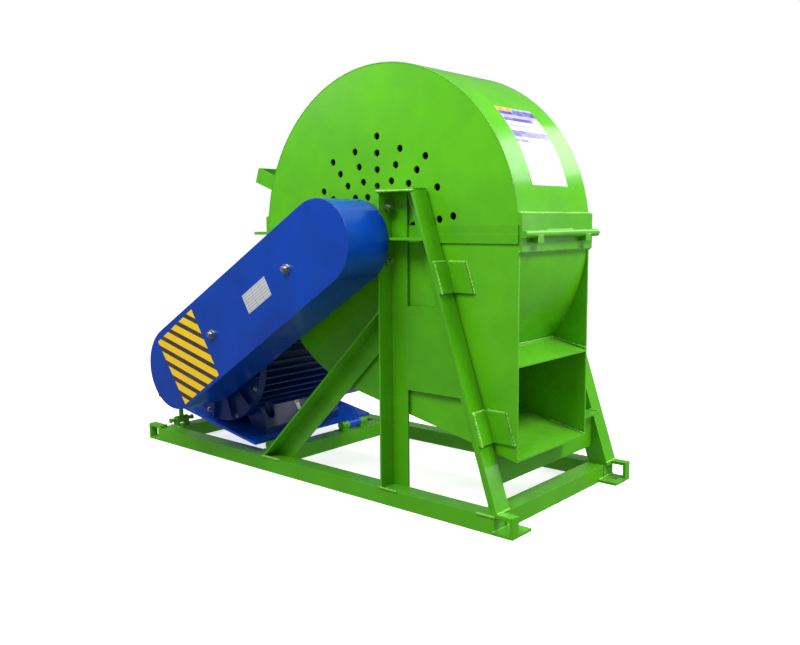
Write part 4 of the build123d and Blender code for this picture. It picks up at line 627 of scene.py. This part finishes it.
# threads on the tension bolt and on the two long guard bolts
tension = {"x": -762.0, "y": -258.0, "low": 150.0, "high": 247.0, "radius": 8.6}
guardThread = {"from": 11.0, "to": 18.0, "radius": 7.6, "pitch": 2.0, "depth": 1.0}
tensionPath = [(tension["x"], tension["y"], tension[end]) for end in ("low", "high")]
grow("tensionThread", pathCurve("tensionThread", [tensionPath]), "thread",
     {"Radius": tension["radius"] * mm, "Material": finishes["greenEnamel"]}, "tension_bolt")
boltPaths = [[(x, guardAxis["front"] - guardThread[end], z) for end in ("from", "to")]
             for x, z in map(downGuard, guardAxis["bolts"])]
grow("guardBoltThreads", pathCurve("guardBoltThreads", boltPaths), "thread",
     {"Radius": guardThread["radius"] * mm, "Pitch": guardThread["pitch"] * mm, "Depth": guardThread["depth"] * mm,
      "Material": finishes["zincPlating"]}, "frame")

# belts: the imported belt mesh with its doubled points merged and its faces smoothed; it is not made to bend
beltRun = {"fixedTo": 150.0, "movesFrom": 690.0, "sharp": 30.0}


def makeBelts(s):
    mesh = bmesh.new()
    mesh.from_mesh(nodes["v_belts"].data)
    bmesh.ops.remove_doubles(mesh, verts=mesh.verts, dist=0.02 * mm)
    data = bpy.data.meshes.new("wedgeBelts")
    mesh.to_mesh(data)
    mesh.free()
    data.shade_smooth()
    data.set_sharp_from_angle(angle=radians(s["sharp"]))
    data.materials.append(finishes["wrappedBeltRubber"])
    belts = bpy.data.objects.new("wedgeBelts", data)
    scene.collection.objects.link(belts)
    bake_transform(belts)
    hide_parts("v_belts")


makeBelts(beltRun)

# hexagon screws round the motor's front shield and at the corners of its terminal box lid
motorAxis = {"x": -414.28, "z": 350.67, "tilt": 9.6}
shieldScrews = {"radius": 205.0, "count": 8, "start": 22.5, "y": -318.5, "head": 8.0, "height": 6.0, "washer": 10.0}
lidScrews = {"rise": 283.0, "along": 70.0, "across": 85.0, "head": 5.0, "height": 4.0, "washer": 6.5}


def fitScrews(name, places, axis, s):
    values = {"Axis": axis, "Radius": s["head"] * mm, "Height": s["height"] * mm, "Washer": s["washer"] * mm,
              "Material": finishes["zincPlating"]}
    grow(name, pointMesh(name, places), "screw", values, "motor")


def shieldPlaces(s):
    turns = [radians(s["start"] + 360 * k / s["count"]) for k in range(s["count"])]
    return [(motorAxis["x"] + s["radius"] * cos(a), s["y"], motorAxis["z"] + s["radius"] * sin(a)) for a in turns]


def lidPlaces(s, up):
    low, high = boxOf("terminal_box")
    centre = Vector((motorAxis["x"], (low[1] + high[1]) / 2, motorAxis["z"])) + up * s["rise"]
    along, across = Vector((up.z, 0, -up.x)) * s["along"], Vector((0, s["across"], 0))
    return [centre + along * side + across * end for side in (-1, 1) for end in (-1, 1)]


fitScrews("frontShieldScrews", shieldPlaces(shieldScrews), (0, -1, 0), shieldScrews)
lidUp = Vector((sin(radians(motorAxis["tilt"])), 0, cos(radians(motorAxis["tilt"]))))
fitScrews("terminalLidScrews", lidPlaces(lidScrews, lidUp), tuple(lidUp), lidScrews)
print("threads, belts and screws made")


# labels: each is a closed film between an under and an upper grid of points
def stickFilm(name, under, upper, inkNames, inkAt, body):
    mesh = bmesh.new()
    low, top = [[[mesh.verts.new(point) for point in line] for line in grid] for grid in (under, upper)]
    rows, columns = len(top) - 1, len(top[0]) - 1
    for v in range(rows):
        for u in range(columns):
            face = mesh.faces.new((top[v][u], top[v][u + 1], top[v + 1][u + 1], top[v + 1][u]))
            face.material_index = inkNames.index(inkAt((v + 0.5) / rows, (u + 0.5) / columns))
            mesh.faces.new((low[v][u], low[v + 1][u], low[v + 1][u + 1], low[v][u + 1]))
    rim = [(0, u) for u in range(columns)] + [(v, columns) for v in range(rows)]
    rim += [(rows, u) for u in range(columns, 0, -1)] + [(v, 0) for v in range(rows, 0, -1)]
    for (v0, u0), (v1, u1) in zip(rim, rim[1:] + rim[:1]):
        mesh.faces.new((top[v1][u1], top[v0][u0], low[v0][u0], low[v1][u1]))
    bmesh.ops.recalc_face_normals(mesh, faces=mesh.faces)
    data = bpy.data.meshes.new(name)
    mesh.to_mesh(data)
    mesh.free()
    for ink in inkNames:
        data.materials.append(finishes[ink])
    piece = bpy.data.objects.new(name, data)
    scene.collection.objects.link(piece)
    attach(piece, body)


def stickFlatFilm(name, corners, normal, thickness, ink, body):
    a, b, c, d = [Vector(corner) * mm for corner in corners]
    lift = Vector(normal) * thickness * mm
    upper = [[a + lift, b + lift], [d + lift, c + lift]]
    stickFilm(name, [[a, b], [d, c]], upper, [ink], lambda down, across: ink, body)


hazardLabel = {"corners": ((-301, 560.5), (-165, 355), (-354.5, 232.5), (-501.5, 435)), "thick": 0.4}
stickFlatFilm("hazardLabel", [(x, guardAxis["front"], z) for x, z in hazardLabel["corners"]], (0, -1, 0),
              hazardLabel["thick"], "hazardFilm", "frame")

# the cover's sheet label: each row has how far down it ends, its ink, and how far across the ink runs
sheetLabel = {
    "start": 44.9, "end": 15.3, "low": -183.0, "high": 4.0, "under": 0.05, "lift": 0.5, "rows": 60, "columns": 24,
    "cornerAcross": 0.42, "cornerDown": 0.07, "inks": ["whiteFilm", "violetInk", "lilacInk", "orangeInk"],
    "print": ((0.03, "lilacInk", 1.0), (0.12, "violetInk", 1.0), (0.16, "lilacInk", 1.0), (0.21, "violetInk", 0.8),
              (0.27, "whiteFilm", 1.0), (0.3, "lilacInk", 1.0), (0.35, "whiteFilm", 1.0), (0.43, "violetInk", 1.0),
              (0.47, "lilacInk", 1.0), (0.5, "violetInk", 0.35), (0.56, "lilacInk", 0.9), (1.0, "whiteFilm", 1.0)),
}


def sheetGrid(s, lift):
    radius = casingRadius + lift
    turns = [radians(s["start"] + (s["end"] - s["start"]) * k / s["rows"]) for k in range(s["rows"] + 1)]
    places = [s["low"] + (s["high"] - s["low"]) * u / s["columns"] for u in range(s["columns"] + 1)]
    return [[Vector((shaft[0] + radius * cos(a), y, shaft[1] + radius * sin(a))) * mm for y in places] for a in turns]


def sheetInk(down, across, s=sheetLabel):
    if down < s["cornerDown"] and across < s["cornerAcross"]:
        return "orangeInk"
    ink, reach = next((ink, reach) for share, ink, reach in s["print"] if down <= share)
    return ink if across <= reach else "whiteFilm"


stickFilm("coverSheetLabel", sheetGrid(sheetLabel, sheetLabel["under"]), sheetGrid(sheetLabel, sheetLabel["lift"]),
          sheetLabel["inks"], sheetInk, "cover")

# small blank inspection tag on the motor's foot: white film with a red spot, no wording
footTag = {"place": (-263.0, -92.0, 175.6), "lean": 27.3, "gap": 0.1, "width": 17.0, "length": 46.0, "thick": 0.3,
           "spot": 11.0, "spotShift": 0.2, "spotThick": 0.5}


def makeFootTag(s):
    lean = radians(s["lean"])
    out, up, side = Vector((cos(lean), 0, sin(lean))), Vector((-sin(lean), 0, cos(lean))), Vector((0, 1, 0))
    middle = Vector(s["place"]) + out * s["gap"]
    for name, wide, tall, shift, thick, ink in (
            ("footTag", s["width"], s["length"], 0.0, s["thick"], "whiteFilm"),
            ("footTagSpot", s["spot"], s["spot"], s["length"] * s["spotShift"], s["spotThick"], "redInk")):
        corners = [middle + up * shift + side * (x * wide / 2) + up * (y * tall / 2)
                   for x, y in ((-1, -1), (1, -1), (1, 1), (-1, 1))]
        stickFlatFilm(name, corners, out, thick, ink, "motor")


makeFootTag(footTag)
print("labels stuck on")

# studio: pale floor, white surround, large soft lights; sizes and places in metres, power in watts
studio = {
    "floor": 14.0, "floorColour": "#f3f3f1", "floorShade": "#eeeeec", "floorGlow": 0.7,
    "ambient": 0.42, "mirrored": 0.2,
    "overhead": {"place": (0.45, -2.1, 2.9), "aim": (0.15, -0.2, 0.8), "size": (2.0, 1.2), "power": 79},
    "left": {"place": (-2.2, -1.7, 2.3), "aim": (0.0, -0.2, 0.9), "size": (1.2, 1.2), "power": 32},
    "right": {"place": (2.7, 0.5, 3.2), "aim": (0.7, 0.0, 0.5), "size": (1.0, 1.0), "power": 105},
    "low": {"place": (2.5, 1.5, 0.9), "aim": (0.8, 0.1, 0.4), "size": (0.8, 1.0), "power": 10},
    "behind": {"place": (1.5, 2.4, 2.3), "aim": (0.6, 0.0, 1.0), "size": (1.5, 0.8), "power": 15},
}


def makeFloor(s):
    size = s["floor"]
    data = bpy.data.meshes.new("floor")
    data.from_pydata([(-size, -size, 0), (size, -size, 0), (size, size, 0), (-size, size, 0)], [], [(0, 1, 2, 3)])
    material, tree, shader, place = startMaterial("mattFloorPaint", {
        "Roughness": 0.7, "Specular IOR Level": 0.1, "Emission Color": linear("#ffffff"),
        "Emission Strength": s["floorGlow"]})
    shade = addNode(tree, "ShaderNodeTexNoise", {"Scale": 3.0, "Detail": 2.0}, {"Vector": place})
    colour = addNode(tree, "ShaderNodeMix",
                     {"data_type": "RGBA", 6: linear(s["floorColour"]), 7: linear(s["floorShade"])},
                     {"Factor": shade.outputs["Fac"]})
    tree.links.new(colour.outputs[2], shader.inputs["Base Color"])
    data.materials.append(material)
    floor = bpy.data.objects.new("floor", data)
    scene.collection.objects.link(floor)
    # the floor shows and takes shadows, but throws no glare up into the paint
    floor.visible_glossy = False
    floor.visible_diffuse = False


def makeLight(name, s):
    data = bpy.data.lights.new(name, "AREA")
    data.shape = "RECTANGLE"
    data.size, data.size_y = s["size"]
    data.energy = s["power"]
    light = bpy.data.objects.new(name, data)
    light.location = s["place"]
    light.rotation_euler = (Vector(s["aim"]) - Vector(s["place"])).to_track_quat("-Z", "Y").to_euler()
    scene.collection.objects.link(light)


def makeSurround(s):
    # the camera sees white; the object gets a softer grey, and its gloss mirrors mostly the lights
    world = bpy.data.worlds.new("surround")
    scene.world = world
    world.use_nodes = True
    tree = world.node_tree
    rays = addNode(tree, "ShaderNodeLightPath")
    seen = addNode(tree, "ShaderNodeMapRange", {"To Min": s["ambient"]}, {"Value": rays.outputs["Is Camera Ray"]})
    gloss = addNode(tree, "ShaderNodeMapRange", {"To Min": 1.0, "To Max": s["mirrored"] / s["ambient"]},
                    {"Value": rays.outputs["Is Glossy Ray"]})
    strength = addNode(tree, "ShaderNodeMath", {"operation": "MULTIPLY"},
                       {0: seen.outputs["Result"], 1: gloss.outputs["Result"]})
    back = tree.nodes["Background"]
    back.inputs["Color"].default_value = linear("#ffffff")
    tree.links.new(strength.outputs[0], back.inputs["Strength"])


makeFloor(studio)
for name in ("overhead", "left", "right", "low", "behind"):
    makeLight(name, studio[name])
makeSurround(studio)
scene.view_settings.view_transform = "Standard"
print("studio lit")
